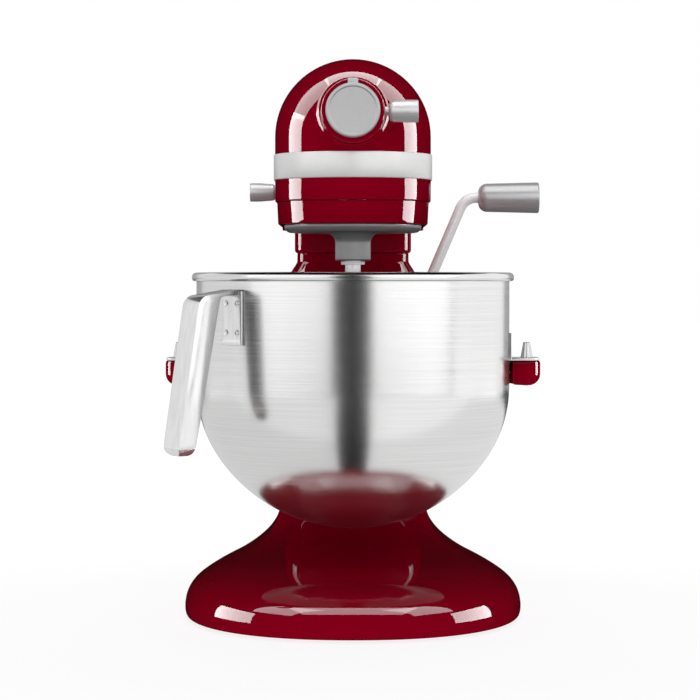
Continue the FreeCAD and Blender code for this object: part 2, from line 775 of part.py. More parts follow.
def make_rear_cover():
    """The domed rear cap, with a floor, cooling slots and one screw seat."""
    body = new_body("rear_cover")
    spin(body, "Revolution", half_arch("head_radius", "head_bottom"), 180, False, "head_straight")
    spin(body, "Groove", half_arch("(head_radius - head_wall)", "head_bottom + 3"), 180, False,
         "head_straight")
    for level in range(5):
        height = f"head_centre - 28 + {level} * 8"
        extrude(body, "Pocket", "XZ_Plane",
                [rectangle("-16", f"{height} - 1.6", "16", f"{height} + 1.6")],
                "head_straight + 20", "head_straight + head_radius + 2")
    extrude(body, "Pocket", "XZ_Plane",
            [("circle", "0", "cover_screw_height", "cover_screw_radius")],
            "head_straight + 20", "head_straight + head_radius + 2")
    last = extrude(body, "Pocket", "XZ_Plane",
                   [("circle", "0", "cover_screw_height", "cover_screw_radius * 2 + 0.2")],
                   "cover_screw_seat - 2", "head_straight + head_radius + 2")
    body.Tip = last
    node("rear_cover", body)


def make_head_trim():
    band = new_body("trim_band")
    extrude(band, "Pad", "XY_Plane", [u_plan("head_radius + band_thickness", "head_straight")],
            "band_bottom", "band_bottom + band_width")
    extrude(band, "Pocket", "XY_Plane", [u_plan("head_radius", "head_straight + 1")],
            "band_bottom - 1", "band_bottom + band_width + 1")
    node("trim_band", band)
    group("head_screws", [
        joined("head_screw", [
            cylinder("screw_stem", "cover_screw_radius", "head_split - ring_seat_top",
                     (x, y, "ring_seat_top")),
            cylinder("screw_head", "cover_screw_radius * 1.8", "2.4",
                     (x, y, "ring_seat_top - 2.4"))]) for x, y in head_screw_places()])
    node("rear_cover_screw", joined("rear_cover_screw", [
        cylinder("screw_stem", "cover_screw_radius", "12",
                 ("0", "cover_screw_seat - 14", "cover_screw_height"), "back"),
        cylinder("screw_head", "cover_screw_radius * 2", "2.4",
                 ("0", "cover_screw_seat - 2", "cover_screw_height"), "back")]))
    turned("cord_gland", [("gland_bore", "-9"), ("gland_radius", "-9"), ("gland_radius", "0"),
                          ("gland_radius + 2", "0"), ("gland_radius + 2", "2.5"),
                          ("gland_radius - 1", "gland_nose"), ("gland_bore", "gland_nose")],
           ("0", "neck_rear", "gland_height"), "back")


def make_bulkheads():
    """Two plates across the head that carry the lay shaft and the motor."""
    for name, front in (("gearbox_bulkhead", "front_bulkhead"),
                        ("motor_bulkhead", "rear_bulkhead")):
        body = new_body(name)
        extrude(body, "Pad", "XZ_Plane",
                [arch("(head_radius - head_wall - bulkhead_gap)", "head_split")],
                front, f"{front} + bulkhead_thickness")
        extrude(body, "Pocket", "XZ_Plane",
                [("circle", "0", "hub_height",
                  "lay_shaft_radius + running_gap + bearing_wall")],
                f"{front} - 1", f"{front} + bulkhead_thickness + 1")
        hole = "motor_shaft_radius + running_gap + bearing_wall"
        last = extrude(body, "Pocket", "XZ_Plane", [("circle", "0", "motor_height", hole)],
                       f"{front} - 1", f"{front} + bulkhead_thickness + 1")
        body.Tip = last
        node(name, body)


# ---- power hub ---------------------------------------------------------------------------

def make_power_hub():
    socket = new_body("hub_socket")
    start, end = "hub_front + 0.5", "hub_front + socket_length"
    extrude(socket, "Pad", "XZ_Plane", [("circle", "0", "hub_height", "socket_radius")],
            start, end)
    extrude(socket, "Pocket", "XZ_Plane", [("circle", "0", "hub_height", "hub_bore_radius")],
            f"{start} - 1", f"{end} + 1")
    extrude(socket, "Pocket", "YZ_Plane",
            [("circle", "knob_line", "hub_height", "knob_screw_radius + running_gap")],
            "hub_bore_radius - 4", "socket_radius + 1")
    node("hub_socket", socket)
    ring("hub_bearing", "hub_drive_radius + running_gap", "socket_radius", "bearing_length",
         ("0", "hub_inner_end - 1", "hub_height"), "front")
    shaft = new_body("hub_shaft")
    extrude(shaft, "Pad", "XZ_Plane", [("circle", "0", "hub_height", "hub_drive_radius")],
            "hub_front + socket_length", "hub_inner_end")
    extrude(shaft, "Pad", "XZ_Plane", [("circle", "0", "hub_height", "lay_shaft_radius + 1")],
            "hub_inner_end", "-bevel_wheel_radius + bevel_face + 1")
    half = "hub_square / 2"
    last = extrude(shaft, "Pocket", "XZ_Plane",
                   [rectangle(f"-{half}", f"hub_height - {half}", half, f"hub_height + {half}")],
                   "hub_front + socket_length - 1", "hub_inner_end - 1")
    shaft.Tip = last
    node("hub_shaft", shaft)
    bevel_gear("hub_bevel_gear", "bevel_pinion_teeth", "bevel_wheel_teeth", "lay_shaft_radius + 1",
               "2", ("0", "0", "hub_height"), "front", 0)
    cover = new_body("hub_cover")
    extrude(cover, "Pad", "XZ_Plane", [("circle", "0", "hub_height", "disc_radius")],
            "disc_front", "disc_front + disc_thickness")
    lug = "disc_lug_radius"
    extrude(cover, "Pad", "YZ_Plane",
            [[("disc_front + 1", "hub_height + disc_radius - 3"),
              ("disc_front + disc_thickness", "hub_height + disc_radius - 3"),
              ("disc_front + disc_thickness", f"disc_pin_height - {lug}"),
              ("disc_pin_line", f"disc_pin_height - {lug}", lug, 1),
              (f"disc_pin_line + {lug}", "disc_pin_height", lug, 1),
              ("disc_pin_line", f"disc_pin_height + {lug}"),
              ("disc_front + 1", f"disc_pin_height + {lug}")]], "-3.7", "3.7")
    last = extrude(cover, "Pocket", "YZ_Plane",
                   [("circle", "disc_pin_line", "disc_pin_height",
                     "disc_pin_radius + running_gap")], "-8", "8")
    cover.Tip = last
    node("hub_cover", cover)
    node("hub_cover_pin", cylinder("hub_cover_pin", "disc_pin_radius", "14",
                                   ("-7", "disc_pin_line", "disc_pin_height"), "right"))
    turned("attachment_knob", [
        ("0", "socket_radius - 1"), ("knob_screw_radius", "socket_radius - 1"),
        ("knob_screw_radius", "knob_start"), ("knob_radius - 2.6", "knob_start"),
        ("knob_radius", "knob_start + 3"), ("knob_radius", "knob_end - 0.8"),
        ("knob_radius - 0.8", "knob_end"), ("0", "knob_end")],
        ("0", "knob_line", "hub_height"), "right")


# ---- gear train and motor ----------------------------------------------------------------

def make_gear_train():
    bevel_gear("lay_bevel_pinion", "bevel_pinion_teeth", "bevel_wheel_teeth", "lay_shaft_radius",
               "2", ("0", "0", "hub_height"), "back", 0)
    node("lay_shaft", cylinder(
        "lay_shaft", "lay_shaft_radius",
        "rear_bulkhead + bulkhead_thickness - bevel_wheel_radius + bevel_face",
        ("0", "bevel_wheel_radius - bevel_face", "hub_height"), "back"))
    spur_gear("lay_gear", "spur_wheel_teeth", "spur_module", "lay_shaft_radius", "spur_face",
              ("0", "spur_front", "hub_height"), "back")
    spur_gear("motor_pinion", "spur_pinion_teeth", "spur_module", "motor_shaft_radius",
              "spur_face", ("0", "spur_front", "motor_height"), "back", 15)
    for name, radius, height in (("lay_bearings", "lay_shaft_radius", "hub_height"),
                                 ("motor_bearings", "motor_shaft_radius", "motor_height")):
        group(name, [
            bearing(radius, ("0", f"{place_y} + 0.5", height))
            for place_y in ("front_bulkhead", "rear_bulkhead")])


def bearing(radius, at):
    outer = cylinder("bearing_outer", f"{radius} + running_gap + bearing_wall",
                     "bearing_length", at, "back")
    inner = cylinder("bearing_inner", f"{radius} + running_gap", "bearing_length + 2",
                     (at[0], f"{at[1]} - 1", at[2]), "back")
    return cut("bearing", outer, [inner])


def make_motor():
    node("motor_shaft", cylinder("motor_shaft", "motor_shaft_radius",
                                 "motor_rear + 32 - front_bulkhead",
                                 ("0", "front_bulkhead", "motor_height"), "back"))
    ring("motor_stator", "rotor_radius + air_gap", "stator_radius", "stator_length",
         ("0", "stator_front", "motor_height"), "back")
    rotor = new_body("motor_rotor")
    extrude(rotor, "Pad", "XY_Plane", [("circle", "0", "0", "rotor_radius")],
            "0", "stator_length - 4")
    extrude(rotor, "Pad", "XY_Plane", [("circle", "0", "0", "motor_shaft_radius + 7")],
            "-9", "0")
    slot = extrude(rotor, "Pocket", "XY_Plane",
                   [rectangle("rotor_radius - 8", "-1.2", "rotor_radius + 1", "1.2")],
                   "-1", "stator_length")
    repeat(rotor, slot, "12")
    extrude(rotor, "Pocket", "XY_Plane", [("circle", "0", "0", "motor_shaft_radius")],
            "-10", "stator_length")
    node("motor_rotor", place(rotor, ("0", "stator_front + 2", "motor_height"), "back"))
    fan = new_body("cooling_fan")
    extrude(fan, "Pad", "XY_Plane", [("circle", "0", "0", "fan_radius")], "0", "1.6")
    blade = extrude(fan, "Pad", "XY_Plane",
                    [rectangle("motor_shaft_radius + 6", "-0.8", "fan_radius - 1", "0.8")],
                    "1", "11")
    repeat(fan, blade, "11")
    extrude(fan, "Pad", "XY_Plane", [("circle", "0", "0", "motor_shaft_radius + 7")], "0", "11")
    extrude(fan, "Pocket", "XY_Plane", [("circle", "0", "0", "motor_shaft_radius")], "-1", "12")
    node("cooling_fan", place(fan, ("0", "motor_rear + 8", "motor_height"), "back"))
    node("control_board", block("control_board", ("-30", "head_straight + 6", "head_split + 6"),
                                ("30", "head_straight + 8", "head_centre + 24")))


# ---- whisking head -----------------------------------------------------------------------

def make_planetary():
    """The turning plate, its upright shaft, the fixed ring gear and the tool shaft's pinion."""
    hub = new_body("planetary_hub")
    plate = extrude(hub, "Pad", "XY_Plane", [("circle", "0", "0", "plate_radius")],
                    "plate_bottom", "plate_top")
    doc.recompute()
    edges = [f"Edge{i + 1}" for i, edge in enumerate(plate.Shape.Edges)
             if abs(edge.BoundBox.ZMax - number("plate_bottom")) < 0.01]
    rim = hub.newObject("PartDesign::Fillet", "plate_edge")
    rim.Base = (plate, edges)
    bind(rim, "Radius", "plate_thickness * 0.6")
    hub.Tip = rim
    extrude(hub, "Pad", "XY_Plane", [("circle", "0", "-tool_offset", "boss_radius")],
            "boss_bottom", "plate_bottom + 1")
    extrude(hub, "Pad", "XY_Plane", [("circle", "0", "0", "main_shaft_radius + 4")],
            "plate_bottom - 4", "ring_seat_top - 2")
    extrude(hub, "Pocket", "XY_Plane", [("circle", "0", "0", "main_shaft_radius")],
            "plate_bottom - 5", "ring_seat_top")
    bush = "tool_shaft_radius + running_gap + 2"
    last = extrude(hub, "Pocket", "XY_Plane", [("circle", "0", "-tool_offset", bush)],
                   "boss_bottom - 1", "plate_top + 1")
    hub.Tip = last
    node("planetary_hub", hub)
    node("planetary_shaft", cylinder("planetary_shaft", "main_shaft_radius",
                                     "wheel_top - 2 - plate_bottom + 3",
                                     ("0", "0", "plate_bottom - 3")))
    bevel_gear("planetary_bevel_gear", "bevel_wheel_teeth", "bevel_pinion_teeth",
               "main_shaft_radius", "6", ("0", "0", "hub_height"), "down", 5)
    group("planetary_bearings", [
        cut("bearing", cylinder("bearing_outer", "tower_bore", "bearing_length",
                                ("0", "0", level)),
            [cylinder("bearing_inner", "main_shaft_radius + running_gap", "bearing_length + 2",
                      ("0", "0", f"{level} - 1"))])
        for level in ("ring_seat_top + 0.5", "tower_top - bearing_length - 0.5")])
    gear = new_body("ring_gear")
    extrude(gear, "Pad", "XY_Plane", [("circle", "0", "0", "ring_radius + 8")], "0", "ring_face")
    extrude(gear, "Pocket", "XY_Plane",
            [("circle", "0", "0", "ring_radius + 1.3 * ring_module")], "-1", "ring_face + 1")
    root = "ring_radius + 1.5 * ring_module"
    one = extrude(gear, "Pad", "XY_Plane",
                  [tooth("ring_radius - 0.8 * ring_module", root, "0.6 * ring_module",
                         "1.9 * ring_module")], "0", "ring_face")
    repeat(gear, one, "ring_teeth")
    node("ring_gear", place(gear, ("0", "0", "ring_seat_top - ring_face")))
    group("agitator_bushes", [
        cut("bush", cylinder("bush_outer", "tool_shaft_radius + running_gap + 2", "9",
                             ("0", "-tool_offset", level)),
            [cylinder("bush_inner", "tool_shaft_radius + running_gap", "11",
                      ("0", "-tool_offset", f"{level} - 1"))])
        for level in ("boss_bottom + 0.5", "plate_top - 9.5")])
    rod = joined("tool_rod", [
        cylinder("tool_rod_main", "tool_shaft_radius",
                 "ring_seat_top - 1 - tool_shaft_end - tool_spigot_length",
                 ("0", "-tool_offset", "tool_shaft_end + tool_spigot_length")),
        cylinder("tool_spigot", "tool_spigot_radius", "tool_spigot_length",
                 ("0", "-tool_offset", "tool_shaft_end"))])
    node("agitator_shaft", cut("agitator_shaft", rod, [
        cylinder("tool_pin_hole", "tool_pin_radius", "40",
                 ("-20", "-tool_offset", "tool_pin_height"), "right")]))
    node("agitator_pin", cylinder("agitator_pin", "tool_pin_radius",
                                  "2 * tool_shaft_radius + 9",
                                  ("-tool_shaft_radius - 4.5", "-tool_offset",
                                   "tool_pin_height"), "right"))
    spur_gear("agitator_pinion", "planet_teeth", "ring_module", "tool_shaft_radius",
              "ring_seat_top - 1 - planet_bottom", ("0", "-tool_offset", "planet_bottom"),
              "up", -90 + 180 / number("planet_teeth"))
    ring("shaft_washer", "tool_shaft_radius", "washer_radius", "2.2",
         ("0", "-tool_offset", "boss_bottom - 2.8"))


# ---- bowl --------------------------------------------------------------------------------

def make_bowl():
    """A spun bowl: one thin outline of arcs and lines turned about the upright axis."""
    body = new_body("bowl")
    rim_low = "bowl_rim - rim_height"
    spin(body, "Revolution", [
        ("0", "bowl_bottom", "bottom_curve", 1),
        ("curve_meet_radius", "curve_meet_height", "bowl_side_curve", 1),
        ("bowl_radius", "bowl_curve_top"),
        ("bowl_radius", f"{rim_low}"),
        ("bowl_radius + rim_bead - 0.4", f"{rim_low} + 0.6"),
        ("bowl_radius + rim_bead", f"{rim_low} + rim_height / 2"),
        ("bowl_radius + rim_bead - 0.8", "bowl_rim - 0.8"),
        ("bowl_radius + 0.6", "bowl_rim"),
        ("bowl_inner", "bowl_rim - 0.8"),
        ("bowl_inner", "bowl_curve_top", "bowl_side_curve - bowl_wall", -1),
        ("inner_meet_radius", "inner_meet_height", "bottom_curve - bowl_wall", -1),
        ("0", "bowl_bottom + bowl_wall")])
    node("bowl", body)
    group("bowl_ears", [ear(side) for side in (-1, 1)])
    make_handle()
    bracket = new_body("rear_bracket")
    extrude(bracket, "Pad", "XY_Plane",
            [rectangle("-7", "bowl_radius", "7", "bowl_radius + 1.6")],
            "arm_top + 6", "arm_top + 26")
    last = extrude(bracket, "Pad", "XY_Plane",
                   [rectangle("-2.2", "bowl_radius", "2.2", "arm_inner + 6")],
                   "arm_top + 8", "arm_top + 12")
    bracket.Tip = last
    wall = cylinder("bowl_wall_form", "bowl_radius", "60", ("0", "0", "arm_top - 10"))
    node("rear_bracket", cut("rear_bracket_trimmed", bracket, [wall]))


def outward(side, near, far):
    """The low and high ends of a stretch along X that mirrors with the side."""
    return (near, far) if side > 0 else (f"-({far})", f"-({near})")


def ear(side):
    """A strip welded to the bowl's wall, with a flange that sits on the arm over its pin."""
    low, high = outward(side, "bowl_radius - ear_thickness", "bowl_radius + ear_reach")
    flange = block("ear_flange", (low, "-ear_half_width", "ear_bottom"),
                   (high, "ear_half_width", "ear_bottom + ear_thickness"))
    low, high = outward(side, "bowl_radius - ear_thickness", "bowl_radius + ear_thickness + 0.5")
    strip = block("ear_strip", (low, "-ear_half_width", "ear_bottom"),
                  (high, "ear_half_width", "ear_bottom + ear_height"))
    both = joined("ear_blank", [flange, strip])
    wall = cylinder("bowl_wall_form", "bowl_radius", "ear_height + 20",
                    ("0", "0", "ear_bottom - 10"))
    hole = cylinder("ear_hole", "pin_radius + pin_gap", "ear_thickness + 2",
                    (f"{side} * pin_offset", "0", "ear_bottom - 1"))
    return cut("ear", both, [wall, hole])


def make_handle():
    """A pressed channel, open to the bowl: a bent strip padded to width, then hollowed."""
    lean = "(handle_reach_bottom - handle_reach_top)"
    seat = "bowl_radius + 2.2"
    body = new_body("bowl_handle")
    outer = [(seat, "handle_top - handle_depth"), ("handle_reach_top - handle_depth",
                                                   "handle_top - handle_depth"),
             ("handle_reach_bottom - handle_depth", "handle_bottom"),
             ("handle_reach_bottom", "handle_bottom"),
             ("handle_reach_top + 1.5", "handle_top - 8"),
             ("handle_reach_top - 6", "handle_top"), (seat, "handle_top")]
    inner = [("bowl_radius - 5", "handle_top - handle_depth - 20"),
             (f"handle_reach_top - handle_depth - 2 + {lean} * 0.1",
              "handle_top - handle_depth - 20"),
             ("handle_reach_bottom - handle_depth - 3", "handle_bottom + handle_skin"),
             ("handle_reach_bottom - handle_skin - 0.4", "handle_bottom + handle_skin"),
             ("handle_reach_top - handle_skin + 1", "handle_top - 8.6"),
             ("handle_reach_top - 6.8", "handle_top - handle_skin"),
             ("bowl_radius - 5", "handle_top - handle_skin")]
    half = "handle_width / 2"
    extrude(body, "Pad", "XZ_Plane", [outer], f"-{half}", half)
    last = extrude(body, "Pocket", "XZ_Plane", [inner], f"-{half} + handle_skin",
                   f"{half} - handle_skin")
    body.Tip = last
    turn = "-90 - handle_turn"
    node("bowl_handle", body)
    body.Placement = Placement(Vector(), Rotation(Vector(0, 0, 1), number(turn)))
    plate = new_body("handle_bracket")
    extrude(plate, "Pad", "YZ_Plane",
            [rectangle("-bracket_width / 2", "handle_top - bracket_height - 1",
                       "bracket_width / 2", "handle_top - 1")], "bowl_radius - 4", seat)
    plate.Placement = Placement(Vector(), Rotation(Vector(0, 0, 1), number(turn)))
    wall = cylinder("bowl_wall_form", "bowl_radius", "bracket_height + 20",
                    ("0", "0", "handle_top - bracket_height - 10"))
    node("handle_bracket", cut("handle_bracket_trimmed", plate, [wall]))


# ---- yoke and lift -----------------------------------------------------------------------

def make_yoke():
    """The cast yoke: a half ring around the bowl on a neck that reaches into the column."""
    body = new_body("bowl_yoke")
    extrude(body, "Pad", "XY_Plane", [[
        ("arm_inner_front", "-arm_front"), ("arm_outer_front", "-arm_front", "arm_outer", 1),
        ("0", "arm_outer", "arm_outer", 1), ("-arm_outer_front", "-arm_front"),
        ("-arm_inner_front", "-arm_front", "arm_inner", -1),
        ("0", "arm_inner", "arm_inner", -1)]], "arm_bottom", "arm_top")
    extrude(body, "Pad", "XY_Plane",
            [rectangle("-neck_width / 2", "arm_inner + 4", "neck_width / 2", "rod_line - 12")],
            "carriage_bottom", "arm_top")
    for side in (-1, 1):
        extrude(body, "Pocket", "XY_Plane", [("circle", f"{side} * pin_offset", "0",
                                              "pin_radius")], "arm_top - 6", "arm_top + 1")
    for level in ("carriage_bottom + yoke_screw_inset", "arm_top - yoke_screw_inset"):
        extrude(body, "Pocket", "XZ_Plane", [("circle", "0", level, "frame_screw_radius")],
                "arm_inner", "rod_line")
        last = extrude(body, "Pocket", "XZ_Plane",
                       [("circle", "0", level, "frame_screw_radius * 1.7 + 0.3")],
                       "arm_inner - 1", "arm_inner + 4")
    body.Tip = last
    node("bowl_yoke", body)
    group("locating_pins", [
        joined("locating_pin", [
            cylinder("pin_stem", "pin_radius", "6 + pin_gap + ear_thickness",
                     (f"{side} * pin_offset", "0", "arm_top - 6")),
            cone("pin_cone", "pin_radius", "pin_tip_radius", "pin_rise",
                 (f"{side} * pin_offset", "0", "ear_bottom + ear_thickness"))])
        for side in (-1, 1)])
    group("yoke_screws", [
        joined("yoke_screw", [
            cylinder("screw_stem", "frame_screw_radius", "rod_line - arm_inner - 2 - 4",
                     ("0", "arm_inner + 4", level), "back"),
            cylinder("screw_head", "frame_screw_radius * 1.7", "2",
                     ("0", "arm_inner + 2", level), "back")])
        for level in ("carriage_bottom + yoke_screw_inset", "arm_top - yoke_screw_inset")])
    clip = new_body("bowl_latch_spring")
    extrude(clip, "Pad", "XY_Plane", [rectangle("-10", "arm_inner + 1", "10", "arm_inner + 8")],
            "arm_top", "arm_top + 1.2")
    for side in (-1, 1):
        last = extrude(clip, "Pad", "XY_Plane",
                       [rectangle(f"{side} * 4 - 1", "arm_inner + 1", f"{side} * 4 + 1",
                                  "arm_inner + 8")], "arm_top", "arm_top + 14")
    clip.Tip = last
    node("bowl_latch_spring", clip)


def make_lift():
    """The carriage on its two rods, and the crank shaft that raises it."""
    body = new_body("lift_carriage")
    extrude(body, "Pad", "XY_Plane",
            [rectangle("-carriage_half_width", "rod_line - 12", "carriage_half_width",
                       "rod_line + 8")], "carriage_bottom", "arm_top")
    slot_low = "crank_pin_line - 3"
    slot_high = "shaft_line + crank_throw + crank_pin_radius + crank_play + 1"
    extrude(body, "Pad", "XY_Plane",
            [rectangle("-tongue_half_width", "rod_line + 6", "tongue_half_width",
                       f"{slot_high} + 5")],
            "arm_top - 12", "arm_top")
    extrude(body, "Pad", "XY_Plane",
            [rectangle("-tongue_half_width", f"{slot_low} - 5", "tongue_half_width",
                       f"{slot_high} + 5")],
            "arm_top - 6", "crank_pin_height + crank_pin_radius + crank_play + 6")
    for side in (-1, 1):
        extrude(body, "Pocket", "XY_Plane", [("circle", f"{side} * rod_spread", "rod_line",
                                              "rod_radius + running_gap")],
                "carriage_bottom - 1", "arm_top + 1")
    play = "crank_pin_radius + crank_play"
    extrude(body, "Pocket", "YZ_Plane",
            [rectangle(f"{slot_low} - 2", f"crank_pin_height - ({play})", slot_high,
                       f"crank_pin_height + {play}")],
            "-tongue_half_width - 1", "tongue_half_width + 1")
    for level in ("carriage_bottom + yoke_screw_inset", "arm_top - yoke_screw_inset"):
        last = extrude(body, "Pocket", "XZ_Plane", [("circle", "0", level, "frame_screw_radius")],
                       "rod_line - 13", "rod_line + 4")
    body.Tip = last
    node("lift_carriage", body)
    node("lift_shaft", cylinder("lift_shaft", "lift_shaft_radius",
                                "lever_hub_end - crank_side",
                                ("crank_side", "shaft_line", "shaft_height"), "right"))
    crank = new_body("lift_crank")
    reach_y, reach_z = "crank_pin_line", "crank_pin_height"
    extrude(crank, "Pad", "YZ_Plane", [("circle", "shaft_line", "shaft_height",
                                        "lift_shaft_radius + 4")],
            "crank_side", "crank_side + crank_thickness")
    extrude(crank, "Pad", "YZ_Plane", [("circle", reach_y, reach_z, "crank_pin_radius + 2.5")],
            "crank_side", "crank_side + crank_thickness")
    web = [("shaft_line + 6", "shaft_height - 6"), (f"{reach_y} + 3.6", f"{reach_z} - 3.6"),
           (f"{reach_y} - 3.6", f"{reach_z} + 3.6"), ("shaft_line - 6", "shaft_height + 6")]
    extrude(crank, "Pad", "YZ_Plane", [web], "crank_side", "crank_side + crank_thickness")
    extrude(crank, "Pad", "YZ_Plane", [("circle", reach_y, reach_z, "crank_pin_radius")],
            "-tongue_half_width", "crank_side + 1")
    last = extrude(crank, "Pocket", "YZ_Plane", [("circle", "shaft_line", "shaft_height",
                                                  "lift_shaft_radius")],
                   "crank_side - 1", "crank_side + crank_thickness + 1")
    crank.Tip = last
    node("lift_crank", crank)
    make_lever()


def make_lever():
    """The bent rod that a hand pulls: its path is three straight runs joined by round bends."""
    corner = Vector(number("lever_corner"), number("shaft_line"), number("grip_height"))
    foot = Vector(number("lever_foot"), number("shaft_line"), number("lever_foot_height"))
    radius, bend = number("lever_rod_radius"), number("lever_bend")
    into = (corner - foot).normalize()
    tangent = bend * math.tan(math.radians(90 - number("lever_lean")) / 2)
    arc_start = corner - into * tangent
    arc_end = corner + Vector(tangent, 0, 0)
    normal = Vector(0, 1, 0).cross(into).normalize()
    centre = arc_start + normal * bend
    if abs((centre - arc_end).Length - bend) > 0.01:
        centre = arc_start - normal * bend
    toward = (corner - centre).normalize()
    middle = centre + toward * bend
    path = Part.Wire([Part.LineSegment(foot, arc_start).toShape(),
                      Part.Arc(arc_start, middle, arc_end).toShape(),
                      Part.LineSegment(arc_end, Vector(number("grip_start + 12"), arc_end.y,
                                                       arc_end.z)).toShape()])
    profile = Part.Wire(Part.Circle(foot, into, radius).toShape())
    rod = doc.addObject("Part::Feature", "lift_lever_rod")
    rod.Shape = path.makePipeShell([profile], True, False)
    node("lift_lever_rod", rod)
    hub = cylinder("lever_hub_blank", "lever_hub_radius", "lever_hub_length",
                   ("lever_hub_start", "shaft_line", "shaft_height"), "right")
    shaft_hole = cylinder("lever_hub_bore", "lift_shaft_radius", "lever_hub_length + 2",
                          ("lever_hub_start - 1", "shaft_line", "shaft_height"), "right")
    node("lever_collar", cut("lever_collar", hub, [shaft_hole, rod]))
    grip = lathe("lift_grip_blank", [
        ("0", "0"), ("8.5", "0"), ("11", "4"), ("grip_radius - 0.8", "9"),
        ("grip_radius", "grip_end - grip_start - 1"),
        ("grip_radius - 1", "grip_end - grip_start"), ("0", "grip_end - grip_start")],
        ("grip_start", "shaft_line", "grip_height"), "right")
    node("lift_grip", cut("lift_grip", grip, [rod]))


# ---- speed control -----------------------------------------------------------------------

def make_speed_control():
    node("speed_lever_arm", block("speed_lever_arm", (
        "-(speed_knob_start + 8)", "speed_rest - speed_arm_width / 2",
        "speed_height - speed_arm_thickness / 2"), (
            "-(head_radius - head_wall - 12)", "speed_rest + speed_arm_width / 2",
            "speed_height + speed_arm_thickness / 2")))
    knob = lathe("speed_knob_blank", [
        ("0", "0"), ("speed_knob_radius - 2.4", "0"), ("speed_knob_radius - 1", "2"),
        ("speed_knob_radius", "speed_knob_end - speed_knob_start - 1"),
        ("speed_knob_radius - 0.8", "speed_knob_end - speed_knob_start"),
        ("0", "speed_knob_end - speed_knob_start")],
        ("-speed_knob_start", "speed_rest", "speed_height"), "left")
    node("speed_knob", cut("speed_knob", knob, [nodes["speed_lever_arm"]]))


# ---- build and write ---------------------------------------------------------------------

make_pedestal()
make_pedestal_fittings()
make_motor_housing()
make_gearcase()
make_rear_cover()
make_head_trim()
make_bulkheads()
make_power_hub()
make_gear_train()
make_motor()
make_planetary()
make_bowl()
make_yoke()
make_lift()
make_speed_control()
doc.recompute()

problems = [f"{item.Label}: {item.State}" for item in doc.Objects
            if "Invalid" in item.State or "Error" in item.State]
for name, thing in nodes.items():
    if thing.Shape.isNull() or not thing.Shape.isValid() or not thing.Shape.Solids:
        problems.append(f"{name}: no valid solid")
if problems:
    raise SystemExit("\n".join(problems))

os.makedirs("parts", exist_ok=True)
for name, thing in nodes.items():
    thing.Shape.exportStep(f"parts/{name}.step")
    print(f"{name}: {len(thing.Shape.Solids)} solid(s), {thing.Shape.Volume / 1000:.1f} cm3")
print(len(nodes), "nodes")
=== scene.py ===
# %% [markdown]
# A stand mixer, modelled piece by piece on a frame of exact solids. The frame gives every size
# and place. This file builds the surfaces that are seen: smooth painted castings, spun steel,
# turned knobs. Each piece is made the way its maker would shape it: round things are turned,
# castings grow from rings, and sheet metal is folded.

import json
import math

import bmesh
import bpy
from mathutils import Matrix, Vector


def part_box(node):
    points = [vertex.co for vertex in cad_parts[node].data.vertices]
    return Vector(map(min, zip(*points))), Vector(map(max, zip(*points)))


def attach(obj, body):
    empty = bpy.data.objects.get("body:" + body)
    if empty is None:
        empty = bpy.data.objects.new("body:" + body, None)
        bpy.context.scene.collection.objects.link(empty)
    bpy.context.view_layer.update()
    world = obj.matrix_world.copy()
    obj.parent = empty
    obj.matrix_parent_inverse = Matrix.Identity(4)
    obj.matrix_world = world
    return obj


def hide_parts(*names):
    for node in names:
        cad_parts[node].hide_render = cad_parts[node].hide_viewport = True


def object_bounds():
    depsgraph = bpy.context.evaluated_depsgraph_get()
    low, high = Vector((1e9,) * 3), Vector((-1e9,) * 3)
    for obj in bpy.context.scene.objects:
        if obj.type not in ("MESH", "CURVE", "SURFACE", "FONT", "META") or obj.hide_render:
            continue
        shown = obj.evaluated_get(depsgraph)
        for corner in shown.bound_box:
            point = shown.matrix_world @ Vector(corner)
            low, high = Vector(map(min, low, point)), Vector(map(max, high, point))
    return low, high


MM = 0.001

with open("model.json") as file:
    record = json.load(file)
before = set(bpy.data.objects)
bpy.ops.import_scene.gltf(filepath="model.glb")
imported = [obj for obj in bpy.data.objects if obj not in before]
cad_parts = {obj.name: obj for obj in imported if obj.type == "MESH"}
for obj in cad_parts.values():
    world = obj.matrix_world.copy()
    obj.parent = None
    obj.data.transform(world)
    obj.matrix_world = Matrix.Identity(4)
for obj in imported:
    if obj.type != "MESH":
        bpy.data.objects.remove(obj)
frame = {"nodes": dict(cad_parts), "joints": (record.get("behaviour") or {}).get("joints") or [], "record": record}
cad_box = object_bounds()


def corners_of(box):
    """The low and the high corner of a box."""
    return tuple(Vector(corner) for corner in box)


def centre_of(box):
    """The middle of a box."""
    return sum(corners_of(box), Vector()) / 2


def limits_of(joint):
    """How far a sliding joint goes each way, in metres."""
    return next(item for item in frame["joints"] if item["name"] == joint)["range_m"]


low, high = corners_of(cad_box)
print("frame:", len(frame["nodes"]), "solids, size", [round(side, 4) for side in high - low])

# %% [markdown]
# A turned outline and a casting's section both need round corners. An outline is written as
# corners, each with a radius where it is round, and one helper puts the arcs in. Drawing curves
# and converting them would also work, but corners with radii read like a maker's drawing.

# %% Outlines with round corners
ARC_STEPS = 8


def arc(centre, radius, start, end, steps=ARC_STEPS):
    """Points on an arc, from the start angle to the end angle in degrees."""
    angles = [math.radians(start + (end - start) * step / steps) for step in range(steps + 1)]
    return [Vector((centre[0] + radius * math.cos(a), centre[1] + radius * math.sin(a)))
            for a in angles]


